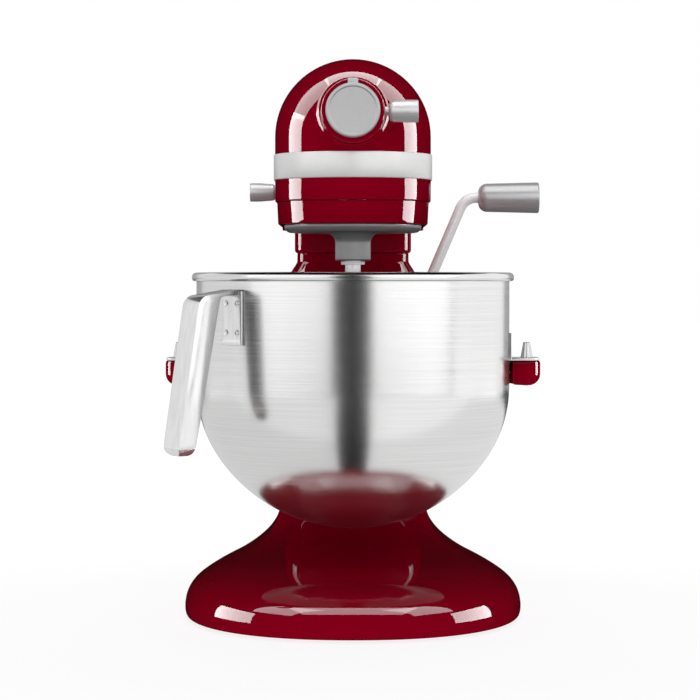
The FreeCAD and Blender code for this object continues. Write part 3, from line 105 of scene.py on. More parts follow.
def rounded(corners, steps=ARC_STEPS):
    """Points of an outline. A corner is (across, up) or (across, up, radius of its arc)."""
    points = []
    for index, corner in enumerate(corners):
        here = Vector(corner[:2])
        if len(corner) == 2:
            points.append(here)
            continue
        before = (Vector(corners[index - 1][:2]) - here).normalized()
        after = (Vector(corners[(index + 1) % len(corners)][:2]) - here).normalized()
        half = before.angle(after) / 2
        centre = here + (before + after).normalized() * corner[2] / math.sin(half)
        start = here + before * corner[2] / math.tan(half) - centre
        end = here + after * corner[2] / math.tan(half) - centre
        first = math.degrees(math.atan2(start.y, start.x))
        turn = math.degrees(math.atan2(end.y, end.x)) - first
        turn = (turn + 180) % 360 - 180
        points += arc(centre, corner[2], first, first + turn, steps)
    return points


def plate(left, right, bottom, top, radius):
    """A rectangle with four round corners."""
    return rounded([(left, bottom, radius), (right, bottom, radius), (right, top, radius),
                    (left, top, radius)])


print("a square with one round corner has", len(rounded([(0, 0), (1, 0), (1, 1, 0.2), (0, 1)])),
      "points")

# %% [markdown]
# Most of a mixer's fittings come off a lathe. The spin operator is Blender's lathe: it sweeps an
# outline round an axis. A full spin merges its ends, the doubled points at the poles are welded,
# and the normals are recalculated, since a spin can turn a shape inside out.

# %% A lathe
FACING = {
    "up": Matrix(),
    "front": Matrix.Rotation(math.radians(90), 4, "X"),
    "back": Matrix.Rotation(math.radians(-90), 4, "X"),
    "right": Matrix.Rotation(math.radians(90), 4, "Y"),
    "left": Matrix.Rotation(math.radians(-90), 4, "Y"),
}
WELD = 1e-6


def chain(shape, outline):
    """A line of vertices and edges in the XZ plane."""
    verts = [shape.verts.new((across, 0, up)) for across, up in outline]
    edges = [shape.edges.new(pair) for pair in zip(verts, verts[1:])]
    return verts, edges


def outward(shape):
    """Turns the faces outwards."""
    bmesh.ops.recalc_face_normals(shape, faces=shape.faces)
    return shape


def settle(shape):
    """Welds doubled points and turns the faces outwards."""
    bmesh.ops.remove_doubles(shape, verts=shape.verts, dist=WELD)
    return outward(shape)


def extruded(shape, edges):
    """Grows faces out of open edges. Gives the new edges and the new points."""
    grown = bmesh.ops.extrude_edge_only(shape, edges=edges)["geom"]
    return ([item for item in grown if isinstance(item, bmesh.types.BMEdge)],
            [item for item in grown if isinstance(item, bmesh.types.BMVert)])


def pushed(shape, faces, by):
    """Extrudes faces by a vector."""
    grown = bmesh.ops.extrude_face_region(shape, geom=faces)["geom"]
    moved = [item for item in grown if isinstance(item, bmesh.types.BMVert)]
    bmesh.ops.translate(shape, verts=moved, vec=by)
    return settle(shape)


def bevelled(shape, edges, width, segments=3, clamp=True):
    """Rounds the named edges."""
    bmesh.ops.bevel(shape, geom=edges, offset=width, offset_type="OFFSET", affect="EDGES",
                    segments=segments, profile=0.5, material=-1, clamp_overlap=clamp)
    return shape


def lathe(outline, at=(0, 0, 0), facing="up", steps=96):
    """A turned shape: (radius, height) points swept about the local Z axis."""
    shape = bmesh.new()
    verts, edges = chain(shape, outline)
    bmesh.ops.spin(shape, geom=verts + edges, cent=(0, 0, 0), axis=(0, 0, 1),
                   angle=math.tau, steps=steps, use_merge=True)
    settle(shape)
    shape.transform(Matrix.Translation(at) @ FACING[facing])
    return shape


def weld_on(shape, other):
    """Adds another shape's mesh to this one."""
    mesh = bpy.data.meshes.new("joined")
    other.to_mesh(mesh)
    other.free()
    shape.from_mesh(mesh)
    bpy.data.meshes.remove(mesh)
    return shape


sample = lathe([(0, 0), (1, 0), (0, 1)])
print("a turned cone has", len(sample.faces), "faces")
sample.free()

# %% [markdown]
# A casting starts as a plate outline that is pushed up, and a pressed part is a plate with bent
# edges. The prism helper fills an outline and extrudes it, and the bevel operator breaks its
# edges. Real edges are never knife sharp, and a thin bevel is what catches the light.

# %% Prisms and edges
def prism(outline, depth, axes="XY", at=(0, 0, 0)):
    """An outline in the named plane, pushed along the third axis from 0 to depth, and moved."""
    places = {"XY": lambda a, b: (a, b, 0), "XZ": lambda a, b: (a, 0, b),
              "YZ": lambda a, b: (0, a, b)}
    third = {"XY": Vector((0, 0, 1)), "XZ": Vector((0, 1, 0)), "YZ": Vector((1, 0, 0))}
    shape = bmesh.new()
    face = shape.faces.new([shape.verts.new(places[axes](*point)) for point in outline])
    pushed(shape, [face], third[axes] * depth)
    shape.transform(Matrix.Translation(at))
    return shape


def soften(shape, width, chosen=None, segments=3):
    """Bevels the edges that a test chooses, or every edge sharper than 30 degrees."""
    sharp = [edge for edge in shape.edges if len(edge.link_faces) == 2
             and edge.calc_face_angle(0) > math.radians(30) and (not chosen or chosen(edge))]
    return bevelled(shape, sharp, width, segments)


def middle(edge):
    """The point halfway along an edge."""
    return (edge.verts[0].co + edge.verts[1].co) / 2


def border_of(shape, chosen=None):
    """The open edges of a skin, or those whose middle a test chooses."""
    return [edge for edge in shape.edges if edge.is_boundary
            and (not chosen or chosen(middle(edge)))]


def box_shape(near, far, edge=0.0, segments=3):
    """A box between two corners with softened edges."""
    near, far = Vector(near), Vector(far)
    shape = bmesh.new()
    bmesh.ops.create_cube(shape, size=1)
    shape.transform(Matrix.Translation((near + far) / 2) @ Matrix.Diagonal((*(far - near), 1)))
    return soften(shape, edge, segments=segments) if edge else shape


sample = box_shape((0, 0, 0), (1, 2, 3), 0.1)
print("a softened box has", len(sample.faces), "faces")
sample.free()

# %% [markdown]
# Every finished piece rides on a body of the frame, so that it moves with it, and the plain
# solids that it stands for are hidden. Faces are shaded smooth, with creases where two faces meet
# at a real corner.

# %% Finish a piece
CREASE = 40
painted, upper, foot, unpainted, fittings, steelware, sheetwork = (
    bpy.data.collections.new(name) for name in (
        "painted", "upper", "foot", "unpainted", "fittings", "steelware", "sheetwork"))


def group(item, slot):
    """Puts an object in the groups of the lights that shine on its kind of surface."""
    groups = ((painted, upper) if slot == "red_paint"
              else (unpainted, steelware if slot == "bowl_steel" else fittings))
    for collection in groups:
        collection.objects.link(item)


def as_object(name, shape):
    """Puts a shape in the scene as an object of its own."""
    mesh = bpy.data.meshes.new(name)
    shape.to_mesh(mesh)
    shape.free()
    item = bpy.data.objects.new(name, mesh)
    bpy.context.scene.collection.objects.link(item)
    return item


def finish(name, shape, material, body, nodes=(), slot=None, crease=CREASE):
    """Turns a shape into a named object that rides on a body."""
    piece = as_object(name, shape)
    mesh = piece.data
    mesh.shade_smooth()
    mesh.set_sharp_from_angle(angle=math.radians(crease))
    mesh.materials.append(material)
    group(piece, slot)
    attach(piece, body)
    if nodes:
        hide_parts(*nodes)
    print(f"{name}: {len(mesh.polygons)} faces on {body}")
    return piece


def baked(shape, modifiers, cutter=None):
    """The shape after some modifiers, given as (type, {setting: value}), and their cutter."""
    blank = as_object("blank", shape)
    tool = as_object("tool", cutter) if cutter else None
    for kind, settings in modifiers:
        step = blank.modifiers.new(kind, kind)
        if kind == "BOOLEAN":
            step.object = tool
        for setting, value in settings.items():
            setattr(step, setting, value)
    bpy.context.view_layer.update()
    done = bpy.data.meshes.new_from_object(blank.evaluated_get(
        bpy.context.evaluated_depsgraph_get()))
    result = bmesh.new()
    result.from_mesh(done)
    for item in (blank, tool):
        if item:
            data = item.data
            bpy.data.objects.remove(item)
            bpy.data.meshes.remove(data)
    bpy.data.meshes.remove(done)
    return result


def carved(shape, tool, operation="DIFFERENCE", edge=0.0, segments=2):
    """The shape cut by a tool. Its corners are broken if an edge is given."""
    steps = [("BOOLEAN", {"operation": operation, "solver": "EXACT"})]
    if edge:
        steps.append(("BEVEL", {"width": edge, "segments": segments, "limit_method": "ANGLE"}))
    return baked(shape, steps, tool)


def window(shape, near, far, depth, fold=True):
    """Cuts a rectangular opening through a skin along depth, and folds its edge in by it."""
    for axis in range(3):
        for corner in (near, far):
            if abs(depth[axis]) > 0:
                continue
            normal = Vector((axis == 0, axis == 1, axis == 2))
            point = Vector(corner)
            bmesh.ops.bisect_plane(shape, geom=shape.verts[:] + shape.edges[:] + shape.faces[:],
                                   dist=1e-7, plane_co=point, plane_no=normal)
    inside = [face for face in shape.faces if all(
        near[i] - WELD < face.calc_center_median()[i] < far[i] + WELD for i in range(3))]
    rim = {edge for face in inside for edge in face.edges
           if sum(linked in inside for linked in edge.link_faces) == 1}
    bmesh.ops.delete(shape, geom=inside, context="FACES")
    if not fold:
        return shape
    moved = extruded(shape, [edge for edge in rim if edge.is_valid])[1]
    bmesh.ops.translate(shape, verts=moved, vec=depth)
    return shape


print("helpers ready")

# %% [markdown]
# Finishes come next. All of them read Object coordinates, so a pattern keeps its size in metres
# whatever it is put on. The first helper makes a Principled shader with its constant settings,
# and the others add a fine noise that varies colour, gloss or relief.

# %% Material helpers
def shader(name, base, roughness, **settings):
    """A material with one Principled shader. Settings name its sockets."""
    material = bpy.data.materials.new(name)
    material.use_nodes = True
    surface = material.node_tree.nodes["Principled BSDF"]
    surface.inputs["Base Color"].default_value = (*base, 1)
    surface.inputs["Roughness"].default_value = roughness
    for socket, value in settings.items():
        surface.inputs[socket.replace("_", " ")].default_value = value
    return material


def feed(material, output, socket):
    """Links an output to a socket of the material's Principled shader."""
    surface = material.node_tree.nodes["Principled BSDF"]
    material.node_tree.links.new(output, surface.inputs[socket])


def node(tree, kind, values=None, **links):
    """A shader node with some values. Links name its inputs and give what feeds them."""
    made = tree.nodes.new("ShaderNode" + kind)
    for socket, value in (values or {}).items():
        made.inputs[socket].default_value = value
    for socket, source in links.items():
        tree.links.new(source, made.inputs[socket.replace("_", " ")])
    return made


def noise(material, scale, stretch=(1, 1, 1), detail=3.0):
    """A noise on Object coordinates: scale in features per metre, stretched per axis."""
    tree = material.node_tree
    where = node(tree, "Mapping", {"Scale": stretch},
                 Vector=node(tree, "TexCoord").outputs["Object"])
    return node(tree, "TexNoise", {"Scale": scale, "Detail": detail},
                Vector=where.outputs["Vector"])


def spread(material, source, low_value, high_value, socket):
    """Maps a noise to a range on a named socket."""
    ramp = node(material.node_tree, "MapRange", {
        "From Min": 0.3, "From Max": 0.7, "To Min": low_value, "To Max": high_value},
        Value=source.outputs["Fac"])
    feed(material, ramp.outputs["Result"], socket)


def tint(material, source, dark, light, socket):
    """Blends two colours by a noise."""
    ramp = node(material.node_tree, "ValToRGB", Fac=source.outputs["Fac"])
    for stop, place, colour in zip(ramp.color_ramp.elements, (0.35, 0.65), (dark, light)):
        stop.position = place
        stop.color = (*colour, 1)
    feed(material, ramp.outputs["Color"], socket)


def relief(material, source, distance, strength, socket):
    """A bump of a noise, its height in metres."""
    bump = node(material.node_tree, "Bump", {"Distance": distance, "Strength": strength},
                Height=source.outputs["Fac"])
    feed(material, bump.outputs["Normal"], socket)


print("material helpers ready")

# %% [markdown]
# The paint is a candy red: a clear coat over a red layer full of fine metal flakes. One noise is
# the flakes, which vary the colour a little, and a much larger and very shallow one is the
# slight waviness of sprayed paint. The coat is the shader's own clear-coat layer.

# %% Candy red paint
def candy_red():
    """Red with flakes under a clear coat."""
    material = shader(
        "candy red paint", (0.31, 0.0, 0.014), 0.42, Metallic=0.0, Coat_Weight=1.0,
        Coat_Roughness=0.02, Coat_IOR=1.34, Specular_IOR_Level=0.0)
    flakes = noise(material, 2600, detail=1.0)
    tint(material, flakes, (0.28, 0.0, 0.012), (0.34, 0.0005, 0.016), "Base Color")
    peel = noise(material, 90, detail=1.0)
    relief(material, peel, 0.00004, 0.25, "Coat Normal")
    return material


paint = candy_red()
print("made", paint.name)

# %% [markdown]
# The bowl is spun from stainless steel and polished in the lathe, which leaves fine rings round
# it. A noise stretched flat and very thin in height gives those rings on the wall and on the
# curved bottom alike, because a ring is a line of constant height. It drives gloss and relief.

# %% Steels
def spun_steel():
    """Polished steel with fine level rings."""
    material = shader("spun steel", (0.86, 0.86, 0.86), 0.16, Metallic=1.0)
    rings = noise(material, 1, stretch=(9, 9, 2600), detail=4.0)
    spread(material, rings, 0.16, 0.26, "Roughness")
    relief(material, rings, 0.00005, 0.4, "Normal")
    tint(material, rings, (0.82, 0.82, 0.82), (0.90, 0.90, 0.895), "Base Color")
    return material


def steel(name, base, low_gloss, high_gloss, scale=500, stretch=(1, 1, 1), metal=1.0):
    """Ground or plated steel with fine marks in its gloss."""
    material = shader(name, base, low_gloss, Metallic=metal)
    marks = noise(material, scale, stretch=stretch)
    spread(material, marks, low_gloss, high_gloss, "Roughness")
    tint(material, marks, [c * 0.93 for c in base], base, "Base Color")
    relief(material, marks, 0.000008, 0.3, "Normal")
    return material


bowl_steel = spun_steel()
pressed_steel = steel("pressed steel", (0.95, 0.95, 0.95), 0.13, 0.19, 260, (1, 1, 0.15), 0.85)
# the plating is almost all white diffuse colour: a painted reflection of the pale studio in place of a plated
# mirror
bright_plating_painted_reflection = steel("bright plating with painted reflection", (0.97, 0.97, 0.98), 0.18, 0.25, 350, (1, 1, 1), 0.12)
turned_steel = steel("turned steel", (0.72, 0.72, 0.73), 0.08, 0.14, 350)
ground_steel = steel("ground steel", (0.84, 0.84, 0.85), 0.16, 0.26, 900, (1, 1, 0.1), 0.8)
bronze = steel("bronze", (0.62, 0.42, 0.20), 0.30, 0.42, 700)
core_iron = steel("laminated iron", (0.20, 0.20, 0.22), 0.45, 0.6, 1500, (0.1, 1, 0.1))
raw_casting = steel("raw casting", (0.46, 0.46, 0.47), 0.5, 0.65, 420)
print("steels:", bowl_steel.name, pressed_steel.name, bright_plating_painted_reflection.name, ground_steel.name)

# %% [markdown]
# The knobs, the trim band, the turning plate and the grip are die castings with a satin lacquer.
# They are half metal, half paint: a metallic shader with high roughness, a very fine sparkle in
# the colour and a faint relief. The copies of the lacquer differ only in brightness, and that is
# painted light and shade: the knob, band and grip copies are painted lighter, and the plate copy
# is painted darker for the shade on its underside. Rubber and plastic have no metal and a soft
# grain.

# %% Satin silver, rubber and plastic
def satin(name, dark, light, gloss):
    """A lacquered die casting."""
    material = shader(name, light, gloss, Metallic=0.6, Specular_IOR_Level=0.4)
    sparkle = noise(material, 3800, detail=1.0)
    tint(material, sparkle, dark, light, "Base Color")
    cloud = noise(material, 120)
    spread(material, cloud, gloss - 0.04, gloss + 0.05, "Roughness")
    relief(material, sparkle, 0.00001, 0.2, "Normal")
    return material


def soft_black(name, base, gloss, scale, depth):
    """Black rubber or plastic with a grain of a given depth in metres."""
    material = shader(name, base, gloss, Specular_IOR_Level=0.4)
    grain = noise(material, scale)
    tint(material, grain, [c * 0.7 for c in base], base, "Base Color")
    relief(material, grain, depth, 0.5, "Normal")
    return material


silver = satin("satin silver", (0.50, 0.50, 0.505), (0.58, 0.58, 0.585), 0.36)
# one satin finish in lit and shaded copies: painted lighter for the knobs, band and grip, painted darker for the
# plate
knob_silver_painted_lighter = satin("knob silver painted lighter", (0.72, 0.72, 0.725), (0.79, 0.79, 0.795), 0.36)
band_silver_painted_lighter = satin("band silver painted lighter", (0.80, 0.80, 0.80), (0.90, 0.90, 0.89), 0.36)
grip_silver_painted_lighter = satin("grip silver painted lighter", (0.56, 0.56, 0.565), (0.64, 0.64, 0.645), 0.32)
plate_silver_painted_darker = satin("plate silver painted darker", (0.34, 0.34, 0.345), (0.40, 0.40, 0.405), 0.34)
rubber = soft_black("black rubber", (0.035, 0.035, 0.035), 0.75, 600, 0.00005)
plastic = soft_black("black plastic", (0.045, 0.045, 0.05), 0.5, 1200, 0.00003)
print("silvers and blacks ready")

# %% [markdown]
# The solids that stay as they are, such as gears, screws and bearings, only need a finish. The
# frame's record says which slot each one belongs to, so one table from slot to material dresses
# them all.

# %% Dress the solids of the frame
FINISHES = {
    "red_paint": paint, "satin_silver": silver, "bowl_steel": pressed_steel,
    "bright_rod": bright_plating_painted_reflection, "shaft_steel": ground_steel, "spur_bronze": bronze,
    "motor_iron": core_iron, "cast_alloy": raw_casting, "black_rubber": rubber,
    "black_plastic": plastic,
}
for part in frame["record"]["subparts"]:
    mesh = frame["nodes"][part["node"]].data
    mesh.materials.clear()
    mesh.materials.append(FINISHES[part["material_slot"]])
    group(frame["nodes"][part["node"]], part["material_slot"])

# %% [markdown]
# The camera stands in front of the machine at the height of its bowl's rim, with a long lens, so
# that upright edges stay upright. It is made before the pieces so that every try is judged from
# the same place.

# %% Camera
LENS = 127.5
STAND_OFF = 1.85
EYE_HEIGHT = 0.252
AIM = Vector((-0.0022, 0, 0.2027))

lens = bpy.data.cameras.new("camera")
lens.lens = LENS
lens.sensor_width = 36
camera = bpy.data.objects.new("camera", lens)
bpy.context.scene.collection.objects.link(camera)
camera.location = (0, -STAND_OFF, EYE_HEIGHT)
camera.rotation_euler = (AIM - camera.location).to_track_quat("-Z", "Y").to_euler()
bpy.context.scene.camera = camera
print("camera", STAND_OFF, "m in front, lens", LENS, "mm")

# %% [markdown]
# The studio is a pale floor under a white backdrop. Polished steel shows whatever stands around
# it, so pale panels stand all round the machine, and the gap between the two in front is what
# draws the dark stripe down the bowl. Gloss paint wants the opposite: a dark room with a hoop of
# light over the machine. Both are in the same studio, because all lights but the three soft ones
# at the end shine only on their own group of pieces.

# %% Floor
FLOOR_REACH = 14.0
FLOOR_WHITE = 0.30
FLOOR_GLOW = 0.62
FADE_NEAR, FADE_FAR = 0.3, 1.6
SEEN_NEAR, SEEN_FAR = 0.86, 1.02


def staged(name, corners, material):
    """A flat stage piece from its corners."""
    shape = bmesh.new()
    shape.faces.new([shape.verts.new(corner) for corner in corners])
    item = as_object(name, shape)
    item.data.materials.append(material)
    return item


def floor_paper():
    """Pale paper that glows. It glows more for the camera, and more with distance."""
    material = shader("studio paper", (FLOOR_WHITE,) * 3, 0.9, Specular_IOR_Level=0.0,
                      Emission_Color=(1, 1, 1, 1), Emission_Strength=FLOOR_GLOW)
    tree = material.node_tree
    reach = tree.nodes.new("ShaderNodeVectorMath")
    reach.operation = "LENGTH"
    tree.links.new(node(tree, "TexCoord").outputs["Object"], reach.inputs[0])
    fade = node(tree, "MapRange", {
        "From Min": FADE_NEAR, "From Max": FADE_FAR, "To Min": SEEN_NEAR, "To Max": SEEN_FAR},
        Value=reach.outputs["Value"])
    seen = node(tree, "Mix", {"A": FLOOR_GLOW}, B=fade.outputs["Result"],
                Factor=node(tree, "LightPath").outputs["Is Camera Ray"])
    feed(material, seen.outputs["Result"], "Emission Strength")
    return material


floor = staged("floor", [(across * FLOOR_REACH, along * FLOOR_REACH, 0) for across, along in (
    (-1, -1), (1, -1), (1, 1), (-1, 1))], floor_paper())
floor.visible_glossy = floor.visible_shadow = False
print("floor reaches", FLOOR_REACH, "m each way")

# %% [markdown]
# A light may shine on one group of pieces only. The steel's own lights are dimmed in reflections
# of reflections: the paint still mirrors the bowl, but faintly. A ray that meets a light in its
# first reflection has a depth of one or two, so the limit lies just above two.

# %% Lights
MACHINE_MIDDLE = Vector((0, 0, 0.2))
SECOND_REFLECTION = 0.4
FIRST_REFLECTION_DEPTH = 2.5


def keep_to_first_reflection(lamp):
    """Dims a light in reflections of reflections, so that the paint mirrors the bowl less."""
    lamp.data.use_nodes = True
    tree = lamp.data.node_tree
    test, share = (tree.nodes.new("ShaderNodeMath") for _ in range(2))
    test.operation = "LESS_THAN"
    test.inputs[1].default_value = FIRST_REFLECTION_DEPTH
    share.operation = "MULTIPLY_ADD"
    share.inputs[1].default_value = 1 - SECOND_REFLECTION
    share.inputs[2].default_value = SECOND_REFLECTION
    tree.links.new(node(tree, "LightPath").outputs["Ray Depth"], test.inputs[0])
    tree.links.new(test.outputs[0], share.inputs[0])
    tree.links.new(share.outputs[0], tree.nodes["Emission"].inputs["Strength"])


def softbox(name, place, width, tall, radiance, seen_by="both", only=None, faces=None):
    """A rectangular light at a place. It may shine on one group of pieces only."""
    place = Vector(place)
    data = bpy.data.lights.new(name, "AREA")
    data.shape = "RECTANGLE"
    data.size = width
    data.size_y = tall
    data.energy = radiance * math.pi * width * tall
    lamp = bpy.data.objects.new(name, data)
    bpy.context.scene.collection.objects.link(lamp)
    lamp.location = place
    lamp.rotation_euler = faces or (MACHINE_MIDDLE - place).to_track_quat("-Z", "Y").to_euler()
    lamp.visible_camera = False
    lamp.visible_diffuse = seen_by != "gloss"
    lamp.visible_glossy = seen_by != "paint"
    if only:
        lamp.light_linking.receiver_collection = only
    if only in (unpainted, steelware):
        keep_to_first_reflection(lamp)


def around(azimuth, distance, height):
    """A place by azimuth: 0 is in front and 90 is on +X's side."""
    angle = math.radians(azimuth)
    return (math.sin(angle) * distance, -math.cos(angle) * distance, height)


# what the steel shows: pale panels all round, with a dark gap in front of the bowl
PANEL_REACH, PANEL_HEIGHT = 2.2, 0.95
for side, azimuth, level, side_level, floor_level, far_floor, sheet_level in (
        (-1, -45.5, 0.99, 0.71, 0.68, 0.12, 0.06), (1, 43.5, 1.13, 0.95, 0.78, 0.15, 0.16)):
    for name, behind, glow, seen_by, only in (("panel", 0, level, "both", unpainted),
                                              ("steel panel", 0.05, 0.09, "gloss", steelware)):
        softbox(name, around(azimuth, PANEL_REACH + behind, PANEL_HEIGHT), 2.9, 1.9, glow,
                seen_by, only)
    softbox("side panel", around(side * 109, 2.0, 0.8), 2.9, 1.7, side_level, "gloss", unpainted)
    softbox("sheet panel", around(side * 90, 2.0, 0.8), 1.6, 1.7, sheet_level, "gloss", sheetwork)
    lean = math.radians(side * 11)
    out = Vector((math.cos(lean), math.sin(lean), 0)) * side
    along = Vector((math.sin(lean), -math.cos(lean), 0))
    width = 2.6
    for name, glow, near, length in (("floor glow", floor_level, -1.1, 3.5),
                                     ("far glow", far_floor, 0.25, 2.15)):
        place = out * width / 2 + along * (near + length / 2) + Vector((0, 0, 0.003))
        softbox(name, place, width, length, glow, "gloss", steelware, (math.pi, 0, lean))
softbox("back panel", around(180, 2.2, 0.9), 3.6, 1.8, 0.36, "gloss", unpainted)
softbox("front card", (0, -2.3, 0.7), 1.4, 1.6, 0.75, "both", fittings)
softbox("top light", (0, -0.3, 2.0), 1.8, 1.8, 1.5, "both", fittings)

# what the paint shows: a hoop of light over the machine, low lights beside its foot, one light
# over the foot's lip, and soft light that only colours the paint
HOOP_RADIUS = 1.6
for side in (-1, 1):
    softbox("hoop side", around(side * 94, HOOP_RADIUS, 0.48), 0.75, 1.1, 21.0, "gloss", upper)
    softbox("hoop shoulder", (side * 1.1, 0.05, 1.35), 0.75, 1.3, 10.5, "gloss", upper)
    softbox("foot side", around(side * 94, HOOP_RADIUS, 0.30), 1.1, 0.64, 17.0, "gloss", foot)
    softbox("foot corner", around(side * 62, 1.2, 1.3), 1.1, 1.3, 10.0, "gloss", foot)
    softbox("panel colour", around(side * 45, PANEL_REACH, PANEL_HEIGHT), 2.5, 1.9, 0.9, "paint",
            painted)
softbox("hoop top", (0, 0.05, 1.8), 1.4, 0.8, 13.0, "gloss", upper)
softbox("foot light", (0, -0.8, 1.5), 2.0, 1.5, 9.5, "gloss", foot)
softbox("fill", around(0, 1.6, 1.9), 1.2, 0.8, 2.4, "paint")
softbox("overhead", (0, 0.3, 2.0), 1.8, 1.8, 0.85, "paint")
softbox("back light", around(180, 2.0, 1.2), 2.6, 1.6, 0.8, "paint")

BACKDROP = 1.0
SURROUND = 0.06
GLOSS_SURROUND = 0.003
world = bpy.data.worlds.new("studio")
bpy.context.scene.world = world
world.use_nodes = True
sky = world.node_tree.nodes["Background"]
sky.inputs["Color"].default_value = (1, 1, 1, 1)
ray = node(world.node_tree, "LightPath")
dark = node(world.node_tree, "MapRange", {"To Min": SURROUND, "To Max": GLOSS_SURROUND},
            Value=ray.outputs["Is Glossy Ray"])
level = node(world.node_tree, "MapRange", {"To Max": BACKDROP},
             Value=ray.outputs["Is Camera Ray"], To_Min=dark.outputs["Result"])
world.node_tree.links.new(level.outputs["Result"], sky.inputs["Strength"])
bpy.context.scene.view_settings.view_transform = "Standard"

# %% [markdown]
# ## Head
# The head is one casting: an arch pushed along the machine, with a dome at its front. The dome
# is the same arch turned half way round the upright axis, so a half spin followed by a straight
# extrusion gives both in one skin with no seam between them.

# %% Upper head casting
head_low, head_high = corners_of(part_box("motor_housing"))
HEAD_RADIUS = head_high.x
HEAD_CENTRE = head_high.z - HEAD_RADIUS
HEAD_REAR = head_high.y
HEAD_SEAM = head_low.z
LIP = 3.0 * MM
SEAM_EDGE = 0.9 * MM


def domed_shell(radius, bottom, top_centre, rear, forward=True):
    """A skin with a half-round top: a half spin about Z, then a straight stretch to the rear."""
    shape = bmesh.new()
    rib = rounded([(radius, bottom), (radius, top_centre + radius, radius),
                   (0, top_centre + radius)], steps=24)
    verts, edges = chain(shape, rib)
    turn = -math.pi if forward else math.pi
    spun = bmesh.ops.spin(shape, geom=verts + edges, cent=(0, 0, 0), axis=(0, 0, 1),
                          angle=turn, steps=48, use_merge=False)
    last = [item for item in spun["geom_last"] if isinstance(item, bmesh.types.BMEdge)]
    if rear:
        bmesh.ops.translate(shape, verts=extruded(shape, edges + last)[1], vec=(0, rear, 0))
    return settle(shape)


def turn_in(shape, border, width, arm_of):
    """Folds an open border inwards, along the arm that each point has from the middle."""
    for vert in extruded(shape, border)[1]:
        vert.co -= Vector(arm_of(vert.co)).normalized() * width
    outward(shape)
    return [edge for edge in border if edge.is_valid]


housing = domed_shell(HEAD_RADIUS, HEAD_SEAM, HEAD_CENTRE, HEAD_REAR)
print("head skin:", len(housing.faces), "faces, radius", round(HEAD_RADIUS, 4))

# %% [markdown]
# The power hub's boss grows out of the dome with a cast fillet. The boss is a turned ring, and
# each of its last rings is moved on to the dome: a little further out, and a little closer to
# the skin, the way a rolling ball leaves a fillet. Its front edge is rounded.

# %% Hub boss with its fillet
BOSS_RADIUS = 23 * MM
BOSS_BORE = 17.5 * MM
BOSS_FILLET = 5 * MM
BOSS_EDGE = 1.8 * MM
BOSS_DEPTH = 14 * MM
BOSS_SIDE = 8 * MM
FILLET_STEPS = 7
FILLET_SINK = 0.25 * MM
HUB_HEIGHT = centre_of(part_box("hub_socket")).z
HUB_FRONT = head_low.y


def dome_face(across, height):
    """Where the dome's skin is, straight behind a point seen from the front."""
    above = max(height - HEAD_CENTRE, 0)
    return -math.sqrt(max(HEAD_RADIUS ** 2 - above ** 2 - across ** 2, 0))


def hub_boss():
    """A turned ring whose root is moved on to the dome ring by ring."""
    outline = rounded([(BOSS_BORE, -BOSS_DEPTH), (BOSS_BORE, 0), (BOSS_RADIUS, 0, BOSS_EDGE),
                       (BOSS_RADIUS, -BOSS_SIDE)])
    shape = lathe(outline, (0, HUB_FRONT, HUB_HEIGHT), "front")
    ring = border_of(shape, lambda at: math.hypot(at.x, at.z - HUB_HEIGHT)
                     > (BOSS_BORE + BOSS_RADIUS) / 2)
    for step in range(FILLET_STEPS + 1):
        slope = math.radians(90 * step / FILLET_STEPS)
        radius = BOSS_RADIUS + BOSS_FILLET * (1 - math.cos(slope))
        lift = BOSS_FILLET * (1 - math.sin(slope)) - FILLET_SINK
        ring, points = extruded(shape, ring)
        for vert in points:
            angle = math.atan2(vert.co.z - HUB_HEIGHT, vert.co.x)
            across = radius * math.cos(angle)
            height = HUB_HEIGHT + radius * math.sin(angle)
            vert.co = Vector((across, dome_face(across, height) - lift, height))
    return settle(shape)


slot_low, slot_high = corners_of(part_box("speed_lever_arm"))
TRAVEL = limits_of("speed_slide")[1]
GAP = 0.6 * MM
window(housing, (-HEAD_RADIUS - LIP, slot_low.y - TRAVEL - GAP, slot_low.z - GAP),
       (-HEAD_RADIUS + LIP, slot_high.y + GAP, slot_high.z + GAP), Vector((LIP, 0, 0)))
fold = turn_in(housing, border_of(housing), LIP,
               lambda at: (at.x, min(at.y, 0), max(at.z - HEAD_CENTRE, 0)))
bevelled(housing, fold, SEAM_EDGE)
weld_on(housing, hub_boss())
finish("head_casting", housing, paint, "stand", ["motor_housing"], "red_paint")

# %% [markdown]
# The lower casting closes the head from below. Its plan is a letter U with a round front, and a
# block behind it stands on the column. Both are outlines pushed up; only their bottom and corner
# edges are broken, so that the seam to the upper casting stays a crisp line.

# %% Lower head casting
column_high = Vector(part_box("pedestal")[1])
TRAY_RADIUS = corners_of(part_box("gearcase_lower"))[1].x
TRAY_BOTTOM = 296 * MM
TRAY_EDGE = 0.9 * MM
TRAY_TAPER = 0.8 * MM
TRAY_GAP = 0.4 * MM
NECK_EDGE = 2.2 * MM
NECK_CORNER = 13 * MM
NECK_HALF_WIDTH = 47 * MM
NECK_FRONT = 145 * MM
NECK_REAR = 243 * MM


def u_outline(radius, rear, steps=40):
    """The head's plan: a half circle in front, and straight sides to the rear."""
    return arc((0, 0), radius, -180, 0, steps) + [Vector((radius, rear)), Vector((-radius, rear))]


